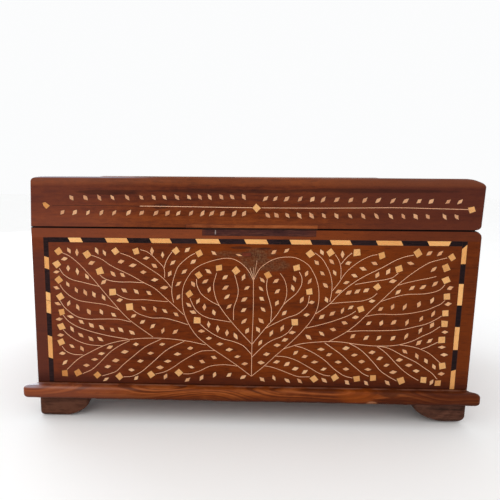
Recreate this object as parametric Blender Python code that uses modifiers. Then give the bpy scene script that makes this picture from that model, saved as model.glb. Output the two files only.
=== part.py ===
"""A small wooden chest with a lift-off lid, its front edged with bone and ebony tiles.

Metres, +Z up. The box stands on four bracket feet, with its front face towards -Y. The origin is on
the ground, under the middle of the box and its front moulding together. Outer sizes come first, and
everything else is worked out from them.
"""
import math

import bpy
import bmesh
from mathutils import Matrix, Vector

MM = 0.001

# Outer sizes
BODY_WIDTH = 352.6 * MM
BODY_DEPTH = 230 * MM
BODY_HEIGHT = 129.4 * MM
LID_HEIGHT = 40 * MM
BASE_THICKNESS = 11 * MM
MOULDING_DEPTH = 8.4 * MM
MOULDING_PAST_LEFT = 9.9 * MM
MOULDING_PAST_RIGHT = 7.1 * MM
FOOT_HEIGHT = 19.3 * MM
FOOT_WIDTH = 42 * MM
FOOT_TOE = 22 * MM
FOOT_SHOULDER = 14 * MM
FOOT_LEVELS = 10

# Boards
WALL = 10 * MM
LID_BOARD = 8 * MM
FIT_GAP = 0.3 * MM

# Rounded and worn edges
CORNER_ROUND = 2 * MM
EDGE_EASE = 0.8 * MM
MOULDING_ROUND = 3.4 * MM
LID_ROUND = 4.5 * MM
LID_WORN_END = 7 * MM
FOOT_ROUND = 4 * MM

# Tile border let into the front
TILE_WIDTH = 3.7 * MM
TILE_DEPTH = 1.2 * MM
TILE_JOINT = 0.3 * MM
BORDER_DROP = 8 * MM
BORDER_LEFT_INSET = 10.1 * MM
BORDER_RIGHT_INSET = 11.1 * MM

# Tile lengths as they were cut by hand, in millimetres. Ebony comes first, and bone takes turns
# with it, but for one bone tile at the left that is in two pieces.
TOP_LENGTHS = [16.6, 10.5, 19, 17.6, 17.8, 16.3, 20, 18.3, 19.9, 17.7,
               17.7, 16.3, 15, 15.9, 19.7, 19.7, 19.7, 16.9, 9.4]
LEFT_LENGTHS = [15.5, 9.9, 19, 7, 10.6, 18.9, 19.1, 20.6]
LEFT_SPLIT_TILE = 4
RIGHT_LENGTHS = [4, 13.8, 15.5, 17.5, 17.4, 19.2, 16.9, 16.3]

# How far each sawn joint leans across the tile's width
TOP_LEAN = 1.9 * MM
TOP_LAST_LEAN = -1.7 * MM
LEFT_LEAN = -1.2 * MM
RIGHT_LEANS = [3.5 * MM, 0, 0, 0, 0, 0, 1.3 * MM]

# Repair where the lock used to be
BODY_STRIP_START = -40 * MM
BODY_STRIP_END = 48.5 * MM
BODY_STRIP_HEIGHT = 5.4 * MM
LID_STRIP_START = -53 * MM
LID_STRIP_END = 49.5 * MM
LID_STRIP_HEIGHT = 3.2 * MM
STRIP_DEPTH = 6 * MM
NAIL_X = -29.8 * MM
NAIL_WIDTH = 0.8 * MM
NAIL_LENGTH = 3.4 * MM
PLUG_X = -5 * MM
PLUG_DROP = 20 * MM
PLUG_WIDTH = 7 * MM
PLUG_HEIGHT = 3 * MM
PLUG_DEPTH = 4 * MM

# Levels and faces that the pieces share
BASE_TOP = FOOT_HEIGHT + BASE_THICKNESS
BODY_TOP = BASE_TOP + BODY_HEIGHT
LID_TOP = BODY_TOP + LID_HEIGHT
LID_JOINT = LID_TOP - LID_BOARD
HALF_WIDTH = BODY_WIDTH / 2
FRONT = (MOULDING_DEPTH - BODY_DEPTH) / 2
BACK = FRONT + BODY_DEPTH
GROOVE_DEPTH = TILE_DEPTH + FIT_GAP
BORDER_TOP = BODY_TOP - BORDER_DROP
BORDER_LEFT = -HALF_WIDTH + BORDER_LEFT_INSET
BORDER_RIGHT = HALF_WIDTH - BORDER_RIGHT_INSET


def clear_scene():
    """Remove every object that the file opened with."""
    for thing in list(bpy.data.objects):
        bpy.data.objects.remove(thing, do_unlink=True)


def new_collection(name):
    """A collection linked into the scene."""
    group = bpy.data.collections.new(name)
    bpy.context.scene.collection.children.link(group)
    return group


def new_material(name, colour, roughness, metallic=0.0):
    """A Principled material with one colour."""
    material = bpy.data.materials.new(name)
    material.use_nodes = True
    shader = material.node_tree.nodes["Principled BSDF"]
    shader.inputs["Base Color"].default_value = (*colour, 1.0)
    shader.inputs["Roughness"].default_value = roughness
    shader.inputs["Metallic"].default_value = metallic
    return material


def place(name, mesh, centre, material, group):
    """An object of the given mesh, with its origin at the given centre."""
    thing = bpy.data.objects.new(name, mesh)
    thing.location = centre
    if material is not None:
        mesh.materials.append(material)
    group.objects.link(thing)
    return thing


def block_mesh(name, size, rounds=None):
    """A cube stretched to size, with a bevel weight on each edge that is rounded.

    rounds gives a radius for an edge, which is named by the signs of its middle: (-1, -1, 0) is
    the upright edge at the left and front.
    """
    mesh = bpy.data.meshes.new(name)
    shape = bmesh.new()
    bmesh.ops.create_cube(shape, size=1.0, matrix=Matrix.Diagonal((*size, 1.0)))
    if rounds:
        weight = shape.edges.layers.float.new("bevel_weight_edge")
        widest = max(rounds.values())
        for edge in shape.edges:
            middle = (edge.verts[0].co + edge.verts[1].co) / 2
            signs = tuple(0 if abs(value) < MM / 100 else (1 if value > 0 else -1) for value in middle)
            edge[weight] = rounds.get(signs, 0.0) / widest
    shape.to_mesh(mesh)
    shape.free()
    return mesh


def board(name, low, high, material, group, rounds=None, segments=3):
    """A flat board between two corners, with the given edges rounded."""
    low, high = Vector(low), Vector(high)
    thing = place(name, block_mesh(name, high - low, rounds), (low + high) / 2, material, group)
    if rounds:
        bevel = thing.modifiers.new("rounded edges", "BEVEL")
        bevel.limit_method = "WEIGHT"
        bevel.width = max(rounds.values())
        bevel.segments = segments
    return thing


def cutter(name, low, high, group):
    """A hidden block that is taken out of other pieces."""
    low, high = Vector(low), Vector(high)
    thing = place(name, block_mesh(name, high - low), (low + high) / 2, None, group)
    thing.hide_render = True
    thing.display_type = "WIRE"
    return thing


def cut(thing, tool):
    """Take a cutter out of a piece."""
    step = thing.modifiers.new("cut by " + tool.name, "BOOLEAN")
    step.operation = "DIFFERENCE"
    step.solver = "EXACT"
    step.object = tool


def four_sides(radius, level):
    """Radii for the four edges round a board's top (level 1) or underside (level -1)."""
    return {(0, -1, level): radius, (0, 1, level): radius, (-1, 0, level): radius, (1, 0, level): radius}


def uprights(radius):
    """Radii for a board's four upright edges."""
    return {(side, face, 0): radius for side in (-1, 1) for face in (-1, 1)}


def base_board(material, group):
    """The board that the walls stand on, which is also the box's floor."""
    return board("base_board", (-HALF_WIDTH, FRONT, FOOT_HEIGHT), (HALF_WIDTH, BACK, BASE_TOP),
                 material, group, uprights(CORNER_ROUND))


def base_moulding(material, group):
    """The strip along the base board's front, which stands out past both of its ends."""
    r = MOULDING_ROUND
    rounds = {(0, -1, 1): r, (0, -1, -1): r, (-1, -1, 0): r, (1, -1, 0): r,
              (-1, 0, 1): r, (1, 0, 1): r, (-1, 0, -1): r, (1, 0, -1): r}
    return board("base_moulding", (-HALF_WIDTH - MOULDING_PAST_LEFT, FRONT - MOULDING_DEPTH, FOOT_HEIGHT),
                 (HALF_WIDTH + MOULDING_PAST_RIGHT, FRONT - FIT_GAP, BASE_TOP), material, group, rounds)


def foot_section(height):
    """How far a foot's outer and inner faces stand in from the box's corner at this height.

    The outer face rounds under on a quarter circle. The inner face is half a parabola, level at the
    toe and upright at the shoulder.
    """
    under = max(0.0, FOOT_ROUND - height)
    inset = FOOT_ROUND - math.sqrt(FOOT_ROUND ** 2 - under ** 2)
    left_to_climb = max(0.0, 1.0 - height / FOOT_SHOULDER)
    reach = FOOT_WIDTH - (FOOT_WIDTH - FOOT_TOE) * left_to_climb ** 2
    return inset, reach


def foot(name, side, face, material, group):
    """A bracket foot under one corner, swept up on both of its inner sides.

    side is -1 at the left and 1 at the right, and face is -1 at the front and 1 at the back. It is
    a cube that is sliced into levels, close together at the toe, and each level takes its width.
    """
    mesh = bpy.data.meshes.new(name)
    shape = bmesh.new()
    bmesh.ops.create_cube(shape, size=1.0, matrix=Matrix.Translation((0.0, 0.0, 0.5)))
    for step in range(1, FOOT_LEVELS):
        everything = shape.verts[:] + shape.edges[:] + shape.faces[:]
        bmesh.ops.bisect_plane(shape, geom=everything, plane_co=(0, 0, step / FOOT_LEVELS),
                               plane_no=(0, 0, 1))
    top = FOOT_HEIGHT - FIT_GAP
    for vert in shape.verts:
        height = top * (1 - math.cos(vert.co.z * math.pi / 2))
        inset, reach = foot_section(height)
        along = inset if vert.co.x * side > 0 else reach
        across = inset if vert.co.y * face > 0 else reach
        vert.co = (-side * along, -face * across, height)
    shape.to_mesh(mesh)
    shape.free()
    return place(name, mesh, (side * HALF_WIDTH, BACK if face > 0 else FRONT, 0.0), material, group)


def body_front(material, group, tools):
    """The front board, the full width, with a groove for the tiles and beds for the lock repair."""
    rounds = {(-1, -1, 0): CORNER_ROUND, (1, -1, 0): CORNER_ROUND, (0, -1, 1): EDGE_EASE}
    thing = board("body_front", (-HALF_WIDTH, FRONT, BASE_TOP + FIT_GAP),
                  (HALF_WIDTH, FRONT + WALL, BODY_TOP), material, group, rounds)
    out = FRONT - TILE_DEPTH
    back = FRONT + GROOVE_DEPTH
    side_top = BORDER_TOP + FIT_GAP
    below = BASE_TOP - FIT_GAP
    grooves = {
        "groove_top": ((BORDER_LEFT - FIT_GAP, out, BORDER_TOP - TILE_WIDTH - FIT_GAP),
                       (BORDER_RIGHT + FIT_GAP, back, side_top)),
        "groove_left": ((BORDER_LEFT - FIT_GAP, out, below),
                        (BORDER_LEFT + TILE_WIDTH + FIT_GAP, back, side_top)),
        "groove_right": ((BORDER_RIGHT - TILE_WIDTH - FIT_GAP, out, below),
                         (BORDER_RIGHT + FIT_GAP, back, side_top)),
        "strip_bed": ((BODY_STRIP_START - FIT_GAP, out, BODY_TOP - BODY_STRIP_HEIGHT - FIT_GAP),
                      (BODY_STRIP_END + FIT_GAP, FRONT + STRIP_DEPTH + FIT_GAP, BODY_TOP + TILE_WIDTH)),
        "plug_bed": plug_box(FIT_GAP),
    }
    for name, (low, high) in grooves.items():
        cut(thing, cutter(name, low, high, tools))
    return thing


def plug_box(margin):
    """The keyhole plug's two corners, with a margin round it and as much behind it."""
    low = BODY_TOP - PLUG_DROP - PLUG_HEIGHT / 2
    front = FRONT - TILE_DEPTH if margin else FRONT
    return ((PLUG_X - PLUG_WIDTH / 2 - margin, front, low - margin),
            (PLUG_X + PLUG_WIDTH / 2 + margin, FRONT + PLUG_DEPTH + margin, low + PLUG_HEIGHT + margin))


def body_walls(material, group, tools):
    """The four boards of the body. The sides stand between the front and the back."""
    foot_of_wall = BASE_TOP + FIT_GAP
    body_front(material, group, tools)
    rounds = {(-1, 1, 0): CORNER_ROUND, (1, 1, 0): CORNER_ROUND, (0, 1, 1): EDGE_EASE}
    board("body_back", (-HALF_WIDTH, BACK - WALL, foot_of_wall), (HALF_WIDTH, BACK, BODY_TOP),
          material, group, rounds)
    near, far = FRONT + WALL + FIT_GAP, BACK - WALL - FIT_GAP
    board("body_left", (-HALF_WIDTH, near, foot_of_wall), (-HALF_WIDTH + WALL, far, BODY_TOP),
          material, group, {(-1, 0, 1): EDGE_EASE})
    board("body_right", (HALF_WIDTH - WALL, near, foot_of_wall), (HALF_WIDTH, far, BODY_TOP),
          material, group, {(1, 0, 1): EDGE_EASE})


def lid_walls(material, group, tools):
    """The four boards of the lid's rim, flush with the body below them."""
    low, high = BODY_TOP + FIT_GAP, LID_JOINT - FIT_GAP
    rounds = {(-1, -1, 0): CORNER_ROUND, (1, -1, 0): CORNER_ROUND, (0, -1, -1): EDGE_EASE}
    front = board("lid_front", (-HALF_WIDTH, FRONT, low), (HALF_WIDTH, FRONT + WALL, high),
                  material, group, rounds)
    bed = cutter("lid_strip_bed", (LID_STRIP_START - FIT_GAP, FRONT - TILE_DEPTH, low - TILE_WIDTH),
                 (LID_STRIP_END + FIT_GAP, FRONT + STRIP_DEPTH + FIT_GAP, low + LID_STRIP_HEIGHT + FIT_GAP),
                 tools)
    cut(front, bed)
    rounds = {(-1, 1, 0): CORNER_ROUND, (1, 1, 0): CORNER_ROUND, (0, 1, -1): EDGE_EASE}
    board("lid_back", (-HALF_WIDTH, BACK - WALL, low), (HALF_WIDTH, BACK, high),
          material, group, rounds)
    near, far = FRONT + WALL + FIT_GAP, BACK - WALL - FIT_GAP
    board("lid_left", (-HALF_WIDTH, near, low), (-HALF_WIDTH + WALL, far, high),
          material, group, {(-1, 0, -1): EDGE_EASE})
    board("lid_right", (HALF_WIDTH - WALL, near, low), (HALF_WIDTH, far, high),
          material, group, {(1, 0, -1): EDGE_EASE})


def lid_top(material, group):
    """The board that closes the lid, rounded over all round and worn rounder at its right end."""
    rounds = {**four_sides(LID_ROUND, 1), **uprights(CORNER_ROUND), (1, 0, 1): LID_WORN_END}
    return board("lid_top", (-HALF_WIDTH, FRONT, LID_JOINT), (HALF_WIDTH, BACK, LID_TOP),
                 material, group, rounds, segments=4)


def lock_repair(dark, pale, steel, plugged, group, tools):
    """The strips let into both edges where the lock was, a nail in one, and the keyhole's plug."""
    strip = board("body_lock_strip", (BODY_STRIP_START, FRONT, BODY_TOP - BODY_STRIP_HEIGHT),
                  (BODY_STRIP_END, FRONT + STRIP_DEPTH, BODY_TOP), dark, group)
    middle = BODY_TOP - BODY_STRIP_HEIGHT / 2
    half = NAIL_WIDTH / 2
    ends = (middle - NAIL_LENGTH / 2, middle + NAIL_LENGTH / 2)
    slot = cutter("nail_slot", (NAIL_X - half - FIT_GAP, FRONT - NAIL_WIDTH, ends[0] - FIT_GAP),
                  (NAIL_X + half + FIT_GAP, FRONT + NAIL_WIDTH + FIT_GAP, ends[1] + FIT_GAP), tools)
    cut(strip, slot)
    board("strip_nail", (NAIL_X - half, FRONT, ends[0]), (NAIL_X + half, FRONT + NAIL_WIDTH, ends[1]),
          steel, group)
    low = BODY_TOP + FIT_GAP
    board("lid_lock_strip", (LID_STRIP_START, FRONT, low),
          (LID_STRIP_END, FRONT + STRIP_DEPTH, low + LID_STRIP_HEIGHT), pale, group)
    board("keyhole_plug", *plug_box(0.0), plugged, group)


def tile(name, corners, material, group):
    """A four-cornered tile, flush with the front. corners are (x, z), counter-clockwise from low left.

    It is a cube whose upright edges are moved to the corners.
    """
    mesh = bpy.data.meshes.new(name)
    shape = bmesh.new()
    bmesh.ops.create_cube(shape, size=1.0)
    middle = sum((Vector(corner) for corner in corners), Vector((0.0, 0.0))) / 4
    order = {(-1, -1): 0, (1, -1): 1, (1, 1): 2, (-1, 1): 3}
    for vert in shape.verts:
        key = (1 if vert.co.x > 0 else -1, 1 if vert.co.z > 0 else -1)
        x, z = Vector(corners[order[key]]) - middle
        vert.co = (x, TILE_DEPTH / 2 if vert.co.y > 0 else -TILE_DEPTH / 2, z)
    shape.to_mesh(mesh)
    shape.free()
    return place(name, mesh, (middle.x, FRONT + TILE_DEPTH / 2, middle.y), material, group)


def joints_along(length, lengths):
    """Where the joints of a row fall, with the hand-cut lengths stretched to fill the row."""
    scale = length / sum(lengths)
    places = [0.0]
    for piece in lengths:
        places.append(places[-1] + piece * scale)
    return places


def tile_border(bone, ebony, group):
    """The row along the top and one down each side, in ebony and bone by turns."""
    half = TILE_JOINT / 2

    inner_left, inner_right = BORDER_LEFT + TILE_WIDTH, BORDER_RIGHT - TILE_WIDTH
    places = joints_along(inner_right - inner_left, TOP_LENGTHS)
    leans = [0.0] + [TOP_LEAN] * (len(TOP_LENGTHS) - 2) + [TOP_LAST_LEAN, 0.0]
    low, high = BORDER_TOP - TILE_WIDTH, BORDER_TOP
    for number in range(len(TOP_LENGTHS)):
        start, end = inner_left + places[number] + half, inner_left + places[number + 1] - half
        lean_start, lean_end = leans[number] / 2, leans[number + 1] / 2
        corners = [(start + lean_start, low), (end + lean_end, low),
                   (end - lean_end, high), (start - lean_start, high)]
        tile(f"top_tile_{number + 1:02d}", corners, bone if number % 2 else ebony, group)

    drop = BORDER_TOP - BASE_TOP - FIT_GAP
    left_leans = [0.0] + [LEFT_LEAN] * (len(LEFT_LENGTHS) - 1) + [0.0]
    right_leans = [0.0] + RIGHT_LEANS + [0.0]
    sides = (("left", BORDER_LEFT, LEFT_LENGTHS, left_leans, LEFT_SPLIT_TILE),
             ("right", BORDER_RIGHT - TILE_WIDTH, RIGHT_LENGTHS, right_leans, len(RIGHT_LENGTHS)))
    for side, near, lengths, leans, split in sides:
        far = near + TILE_WIDTH
        places = joints_along(drop, lengths)
        for number in range(len(lengths)):
            top, foot_end = BORDER_TOP - places[number] - half, BORDER_TOP - places[number + 1] + half
            lean_top, lean_end = leans[number] / 2, leans[number + 1] / 2
            corners = [(near, foot_end - lean_end), (far, foot_end + lean_end),
                       (far, top + lean_top), (near, top - lean_top)]
            turn = number if number < split else number + 1
            tile(f"{side}_tile_{number + 1}", corners, bone if turn % 2 else ebony, group)


def build():
    """Make every piece of the box."""
    clear_scene()
    group = new_collection("bone_inlay_box")
    tools = new_collection("cutters")
    walnut = new_material("red_brown_wood", (0.17, 0.052, 0.022), 0.38)
    moulding = new_material("orange_brown_wood", (0.2, 0.065, 0.024), 0.35)
    old_block = new_material("grey_brown_wood", (0.1, 0.05, 0.032), 0.6)
    ebony = new_material("ebony", (0.02, 0.011, 0.012), 0.4)
    bone = new_material("bone", (0.78, 0.47, 0.2), 0.4)
    dark = new_material("dark_repair_wood", (0.05, 0.022, 0.016), 0.5)
    pale = new_material("pale_repair_wood", (0.28, 0.12, 0.05), 0.45)
    steel = new_material("nail_steel", (0.4, 0.36, 0.34), 0.5, 1.0)
    plugged = new_material("plug_wood", (0.2, 0.05, 0.025), 0.5)
    base_board(walnut, group)
    base_moulding(moulding, group)
    for face_name, face in (("front", -1), ("back", 1)):
        for side_name, side in (("left", -1), ("right", 1)):
            foot(f"foot_{face_name}_{side_name}", side, face, old_block, group)
    body_walls(walnut, group, tools)
    lid_walls(walnut, group, tools)
    lid_top(walnut, group)
    lock_repair(dark, pale, steel, plugged, group, tools)
    tile_border(bone, ebony, group)


build()
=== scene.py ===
# %% [markdown]
# # A wooden box inlaid with bone
# The box is a plain chest of red-brown boards. Its front carries several hundred slips of bone let
# into the wood, wire stems between them, and a border of ebony and bone tiles. This lesson
# covers the plain boards of the CAD model with finer surfaces, lays the inlay in piece by piece,
# and gives every surface a finish made of nodes.

# %% Load the frame
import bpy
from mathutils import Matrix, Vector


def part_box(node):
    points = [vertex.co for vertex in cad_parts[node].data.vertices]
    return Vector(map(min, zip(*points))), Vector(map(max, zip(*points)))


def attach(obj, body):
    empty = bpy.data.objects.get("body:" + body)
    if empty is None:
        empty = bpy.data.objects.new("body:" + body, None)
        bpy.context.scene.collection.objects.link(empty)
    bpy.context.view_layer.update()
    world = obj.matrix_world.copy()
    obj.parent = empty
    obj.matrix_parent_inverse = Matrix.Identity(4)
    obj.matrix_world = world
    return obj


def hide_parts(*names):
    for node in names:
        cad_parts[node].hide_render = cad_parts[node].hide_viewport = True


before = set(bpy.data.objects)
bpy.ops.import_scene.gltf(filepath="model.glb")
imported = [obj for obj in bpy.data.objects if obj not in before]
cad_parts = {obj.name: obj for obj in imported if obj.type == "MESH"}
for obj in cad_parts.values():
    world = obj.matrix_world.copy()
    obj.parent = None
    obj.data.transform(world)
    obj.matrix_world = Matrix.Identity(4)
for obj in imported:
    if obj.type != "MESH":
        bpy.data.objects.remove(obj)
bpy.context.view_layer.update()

import collections
import math

import bpy
import numpy as np
from mathutils import Matrix

MM = 0.001


def put(name, data):
    """A new object in the scene."""
    added = bpy.data.objects.new(name, data)
    bpy.context.scene.collection.objects.link(added)
    return added


def unit(vectors):
    """The same directions, each one long."""
    return vectors / np.linalg.norm(vectors, axis=-1, keepdims=True)


def walk(points):
    """How far each point of a line lies from its first point, along the line."""
    return np.concatenate(([0.0], np.cumsum(np.linalg.norm(np.diff(points, axis=0), axis=1))))


print("pieces in the frame:", len(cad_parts))

# %% [markdown]
# The levels are read off the frame, so the lesson follows the CAD model if one of its sizes changes.
# The inlay's heights were measured down from the lid's seam. In the lists below they count up from a
# level 157.7 mm under the seam, which lies close to the ground.

# %% Levels and faces read from the frame
wall_low, wall_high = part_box("body_front")
lid_low, lid_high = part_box("lid_top")
base_low, base_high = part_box("base_moulding")
FRONT_Y = wall_low.y
BACK_Y = lid_high.y
SIDE_X = lid_high.x
LEDGE = base_high.z
SEAM = wall_high.z
LID_JOINT = lid_low.z
LID_TOP = lid_high.z
MIDDLE_Y = (FRONT_Y + BACK_Y) / 2
PATTERN_DROP = 157.7 * MM
PATTERN_ZERO = SEAM - PATTERN_DROP
print(f"front {FRONT_Y / MM:.1f} mm, ledge {LEDGE / MM:.1f}, seam {SEAM / MM:.1f}, top {LID_TOP / MM:.1f}")

# %% [markdown]
# ## The camera
# The photograph looks at the front from about the lid's height and a little to the left. A pinhole
# camera was fitted to the box's straight edges: that gave its place, its three turns, its focal
# length and how far the picture's middle is off the lens's axis. That last one is Blender's shift.
# The fit put the camera 3.8 mm above the lid's top. It was then lowered to 1.2 mm, and the picture shifted
# back, because the photograph shows next to nothing of the top.

# %% Camera at the photograph's angle
PICTURE = 500
FOCAL_PIXELS = 490
AXIS_PIXEL_X = 200
SENSOR_WIDTH = 36
CAMERA_PLACE = (-30.1 * MM, FRONT_Y - 381.8 * MM, SEAM + 41.2 * MM)
SHIFT_UP_PIXELS = 3.3
NEAREST_SEEN = 10 * MM
CAMERA_YAW = math.radians(-1.751)
CAMERA_PITCH = math.radians(9.029)
CAMERA_ROLL = math.radians(-0.357)


def camera_turn(yaw, pitch, roll):
    """The camera's right, up and backward directions, as columns. It looks along +Y, turns by yaw
    about the upright axis, looks down by pitch, and rolls about the way that it looks."""
    ahead = np.array((math.sin(yaw) * math.cos(pitch), math.cos(yaw) * math.cos(pitch), -math.sin(pitch)))
    level = np.array((math.cos(yaw), -math.sin(yaw), 0.0))
    down = np.cross(ahead, level)
    right = math.cos(roll) * level + math.sin(roll) * down
    up = math.sin(roll) * level - math.cos(roll) * down
    return np.column_stack((right, up, -ahead))


camera_data = bpy.data.cameras.new("camera")
camera_data.sensor_width = SENSOR_WIDTH
camera_data.lens = SENSOR_WIDTH * FOCAL_PIXELS / PICTURE
camera_data.shift_x = (PICTURE / 2 - AXIS_PIXEL_X) / PICTURE
camera_data.shift_y = SHIFT_UP_PIXELS / PICTURE
camera_data.clip_start = NEAREST_SEEN
camera = put("camera", camera_data)
placing = np.eye(4)
placing[:3, :3] = camera_turn(CAMERA_YAW, CAMERA_PITCH, CAMERA_ROLL)
placing[:3, 3] = CAMERA_PLACE
camera.matrix_world = Matrix(placing.tolist())
bpy.context.scene.camera = camera
print(f"lens {camera_data.lens:.1f} mm, shift {camera_data.shift_x:.2f}")

# %% [markdown]
# ## A small language for finishes
# Node trees are hard to read when they are built socket by socket. One class wraps a socket that
# carries a number, so that sums over a surface are written as Python sums, and one method adds any
# other node. Colours and directions never go through the sums, which would turn them grey.

# %% Numbers that vary over a surface


class Number:
    """An output socket. Each Python sign between it and another number adds one Math node."""

    def __init__(self, paint, socket):
        self.paint = paint
        self.socket = socket

    def sum(self, operation, first, second):
        return self.paint.node("ShaderNodeMath", {"operation": operation}, {0: first, 1: second})

    def __add__(self, other):
        return self.sum("ADD", self, other)

    def __sub__(self, other):
        return self.sum("SUBTRACT", self, other)

    def __mul__(self, other):
        return self.sum("MULTIPLY", self, other)

    def __truediv__(self, other):
        return self.sum("DIVIDE", self, other)

    __radd__ = __add__
    __rmul__ = __mul__


# %% Paint: a material's tree and the nodes that finishes use


def srgb(red, green, blue):
    """A colour as it is seen on a screen, 0 to 255, as the linear light that shaders work in."""
    parts = [part / 255 for part in (red, green, blue)]
    return tuple(p / 12.92 if p <= 0.04045 else ((p + 0.055) / 1.055) ** 2.4 for p in parts)


class Paint:
    """A material and the short forms for the nodes that make it."""

    def __init__(self, name):
        self.material = bpy.data.materials.new(name)
        self.material.use_nodes = True
        self.tree = self.material.node_tree
        self.shader = self.tree.nodes["Principled BSDF"]

    def pick(self, sockets, key):
        """A socket by its number, identifier or name."""
        if isinstance(key, int):
            return sockets[key]
        exact = [socket for socket in sockets if socket.identifier == key]
        return (exact or [socket for socket in sockets if socket.name == key])[0]

    def feed(self, socket, value):
        """Links a number or colour that varies, or sets one that doesn't."""
        if isinstance(value, Number):
            self.tree.links.new(value.socket, socket)
        elif isinstance(value, tuple) and len(socket.default_value) == 4:
            socket.default_value = (*value, 1.0)
        else:
            socket.default_value = value

    def node(self, kind, settings, sockets, output=0):
        """Adds a node: its settings first, then the values or links of its sockets."""
        new = self.tree.nodes.new(kind)
        for name, value in settings.items():
            setattr(new, name, value)
        for key, value in sockets.items():
            self.feed(self.pick(new.inputs, key), value)
        return Number(self, self.pick(new.outputs, output))

    def place(self):
        """X, Y and Z on the object, in metres from the box's middle and the ground."""
        where = self.node("ShaderNodeTexCoord", {}, {}, "Object")
        return [self.node("ShaderNodeSeparateXYZ", {}, {0: where}, axis) for axis in "XYZ"]

    def attribute(self, name, output="Fac"):
        return self.node("ShaderNodeAttribute", {"attribute_name": name}, {}, output)

    def noise(self, a, b, c, detail=2.0, rough=0.5):
        """Cloudy noise from 0 to 1. a, b and c count the clouds along each direction."""
        vector = self.node("ShaderNodeCombineXYZ", {}, {0: a, 1: b, 2: c})
        sockets = {"Vector": vector, "Scale": 1.0, "Detail": detail, "Roughness": rough}
        return self.node("ShaderNodeTexNoise", {}, sockets)

    def rise(self, value, low, high):
        """0 below low, 1 above high and a smooth slope between. With low above high it falls."""
        sockets = {"Value": value, "From Min": low, "From Max": high}
        return self.node("ShaderNodeMapRange", {"interpolation_type": "SMOOTHSTEP"}, sockets)

    def mix(self, share, first, second):
        """The first colour turning into the second as share goes from 0 to 1."""
        sockets = {"Factor_Float": share, "A_Color": first, "B_Color": second}
        return self.node("ShaderNodeMix", {"data_type": "RGBA"}, sockets, "Result_Color")

    def lay(self, colour, *layers):
        """The colour with others laid over it in turn. Each layer is a share and a colour."""
        for share, over in layers:
            colour = self.mix(share, colour, over)
        return colour

    def bump(self, height, distance):
        """A normal that follows a height, which is distance metres where it is 1."""
        sockets = {"Strength": 1.0, "Distance": distance, "Height": height}
        return self.node("ShaderNodeBump", {}, sockets, "Normal")

    def finish(self, colour, roughness, normal=None, **plain):
        """Feeds the shader. plain are values that are the same all over, by socket name."""
        self.feed(self.shader.inputs["Base Color"], colour)
        self.feed(self.shader.inputs["Roughness"], roughness)
        if normal is not None:
            self.feed(self.shader.inputs["Normal"], normal)
        for name, value in plain.items():
            self.shader.inputs[name.replace("_", " ")].default_value = value
        return self.material


print("finish tools ready")

# %% [markdown]
# ## Wood
# Every board is old hardwood under a thin wax. What makes it read as wood is that its detail has
# three sizes: broad bands of figure a hand's breadth long, fine streaks a few centimetres long, and
# open pores like scratches. All three are one noise, squeezed across the grain by a different
# amount, so one function paints every board and only colours and directions change.

# %% The wood finish

Tones = collections.namedtuple("Tones", "dark middle light glow pore")


def tones(*parts):
    """A wood's dark, middle, light, glowing and pore colours, each as (red, green, blue)."""
    return Tones(*[srgb(*part) for part in parts])


def wood(name, along, shades, seed, extra=None, sweep=0.006, glow=0.5, spread=1.0, reach=1.0):
    """Streaked wood whose grain runs along x or y.

    The place across the grain is first pushed about by a slow noise, which makes the lines waver by
    up to half of sweep. Figure, streaks and pores are then noise that is stretched along the grain,
    and reach makes them longer. A larger spread lowers the contrast of light and dark.
    extra(paint, place, colour, roughness) may lay dirt, a repair, or painted light and shade over the
    finished wood.
    """
    paint = Paint(name)
    x, y, z = paint.place()
    a, b = (x, y) if along == "x" else (y, x)
    a = a + 0.37 * seed
    b = b + 0.21 * seed
    waver = paint.noise(a * 7, b * 20, z * 20) - 0.5
    b_bent = b + waver * sweep
    z_bent = z + waver * (sweep * 1.6)
    figure = paint.noise(a * (6 / reach), b_bent * 60, z_bent * 100, detail=4.0, rough=0.55)
    streak = paint.noise(a * (28 / reach), b_bent * 400, z_bent * 500, detail=4.0, rough=0.65)
    fibre = paint.noise(a * 110, b * 1100, z * 1000, detail=2.0)
    cloud = paint.noise(a * 8 + 3.1, b * 14, z * 15, detail=2.0)
    mottle = paint.noise(a * 140, b_bent * 260, z_bent * 300, detail=3.0, rough=0.6)
    half = 0.13 * spread
    depth = paint.rise(figure * 0.36 + streak * 0.3 + mottle * 0.34, 0.5 - half, 0.5 + half)
    lines = paint.rise(streak, 0.44, 0.3)
    pores = paint.rise(fibre, 0.42, 0.3)
    colour = paint.lay(
        paint.mix(paint.rise(depth, 0.0, 0.5), shades.dark, shades.middle),
        (paint.rise(depth, 0.45, 1.0), shades.light),
        (paint.rise(cloud, 0.46, 0.66) * glow, shades.glow),
        (lines * 0.3, shades.dark),
        (pores * 0.45, shades.pore))
    roughness = 0.4 + pores * 0.2 + paint.rise(cloud, 0.6, 0.35) * 0.12
    if extra is not None:
        colour, roughness = extra(paint, (x, y, z), colour, roughness)
    normal = paint.bump(streak * 0.35 - pores * 0.5 + figure * 0.6, 0.12 * MM)
    return paint.finish(colour, roughness, normal, Specular_IOR_Level=0.05, Coat_Roughness=0.2)


print("wood's colours:", Tones._fields)

# %% [markdown]
# The boards aren't only wood. Filler and dirt lie on them in patches: ellipses whose edges a noise breaks up.
# A black line of painted shade runs along the seam's gap.

# %% Patches, dirt and the seam's painted shade

FILLER = srgb(62, 38, 26)
FILLER_LIGHT = srgb(108, 80, 56)
GRIME = srgb(40, 21, 16)
SEAM_SHADE = srgb(16, 8, 7)
Patch = collections.namedtuple("Patch", "middle size soft share", defaults=(0.35, 1.0))


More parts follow.
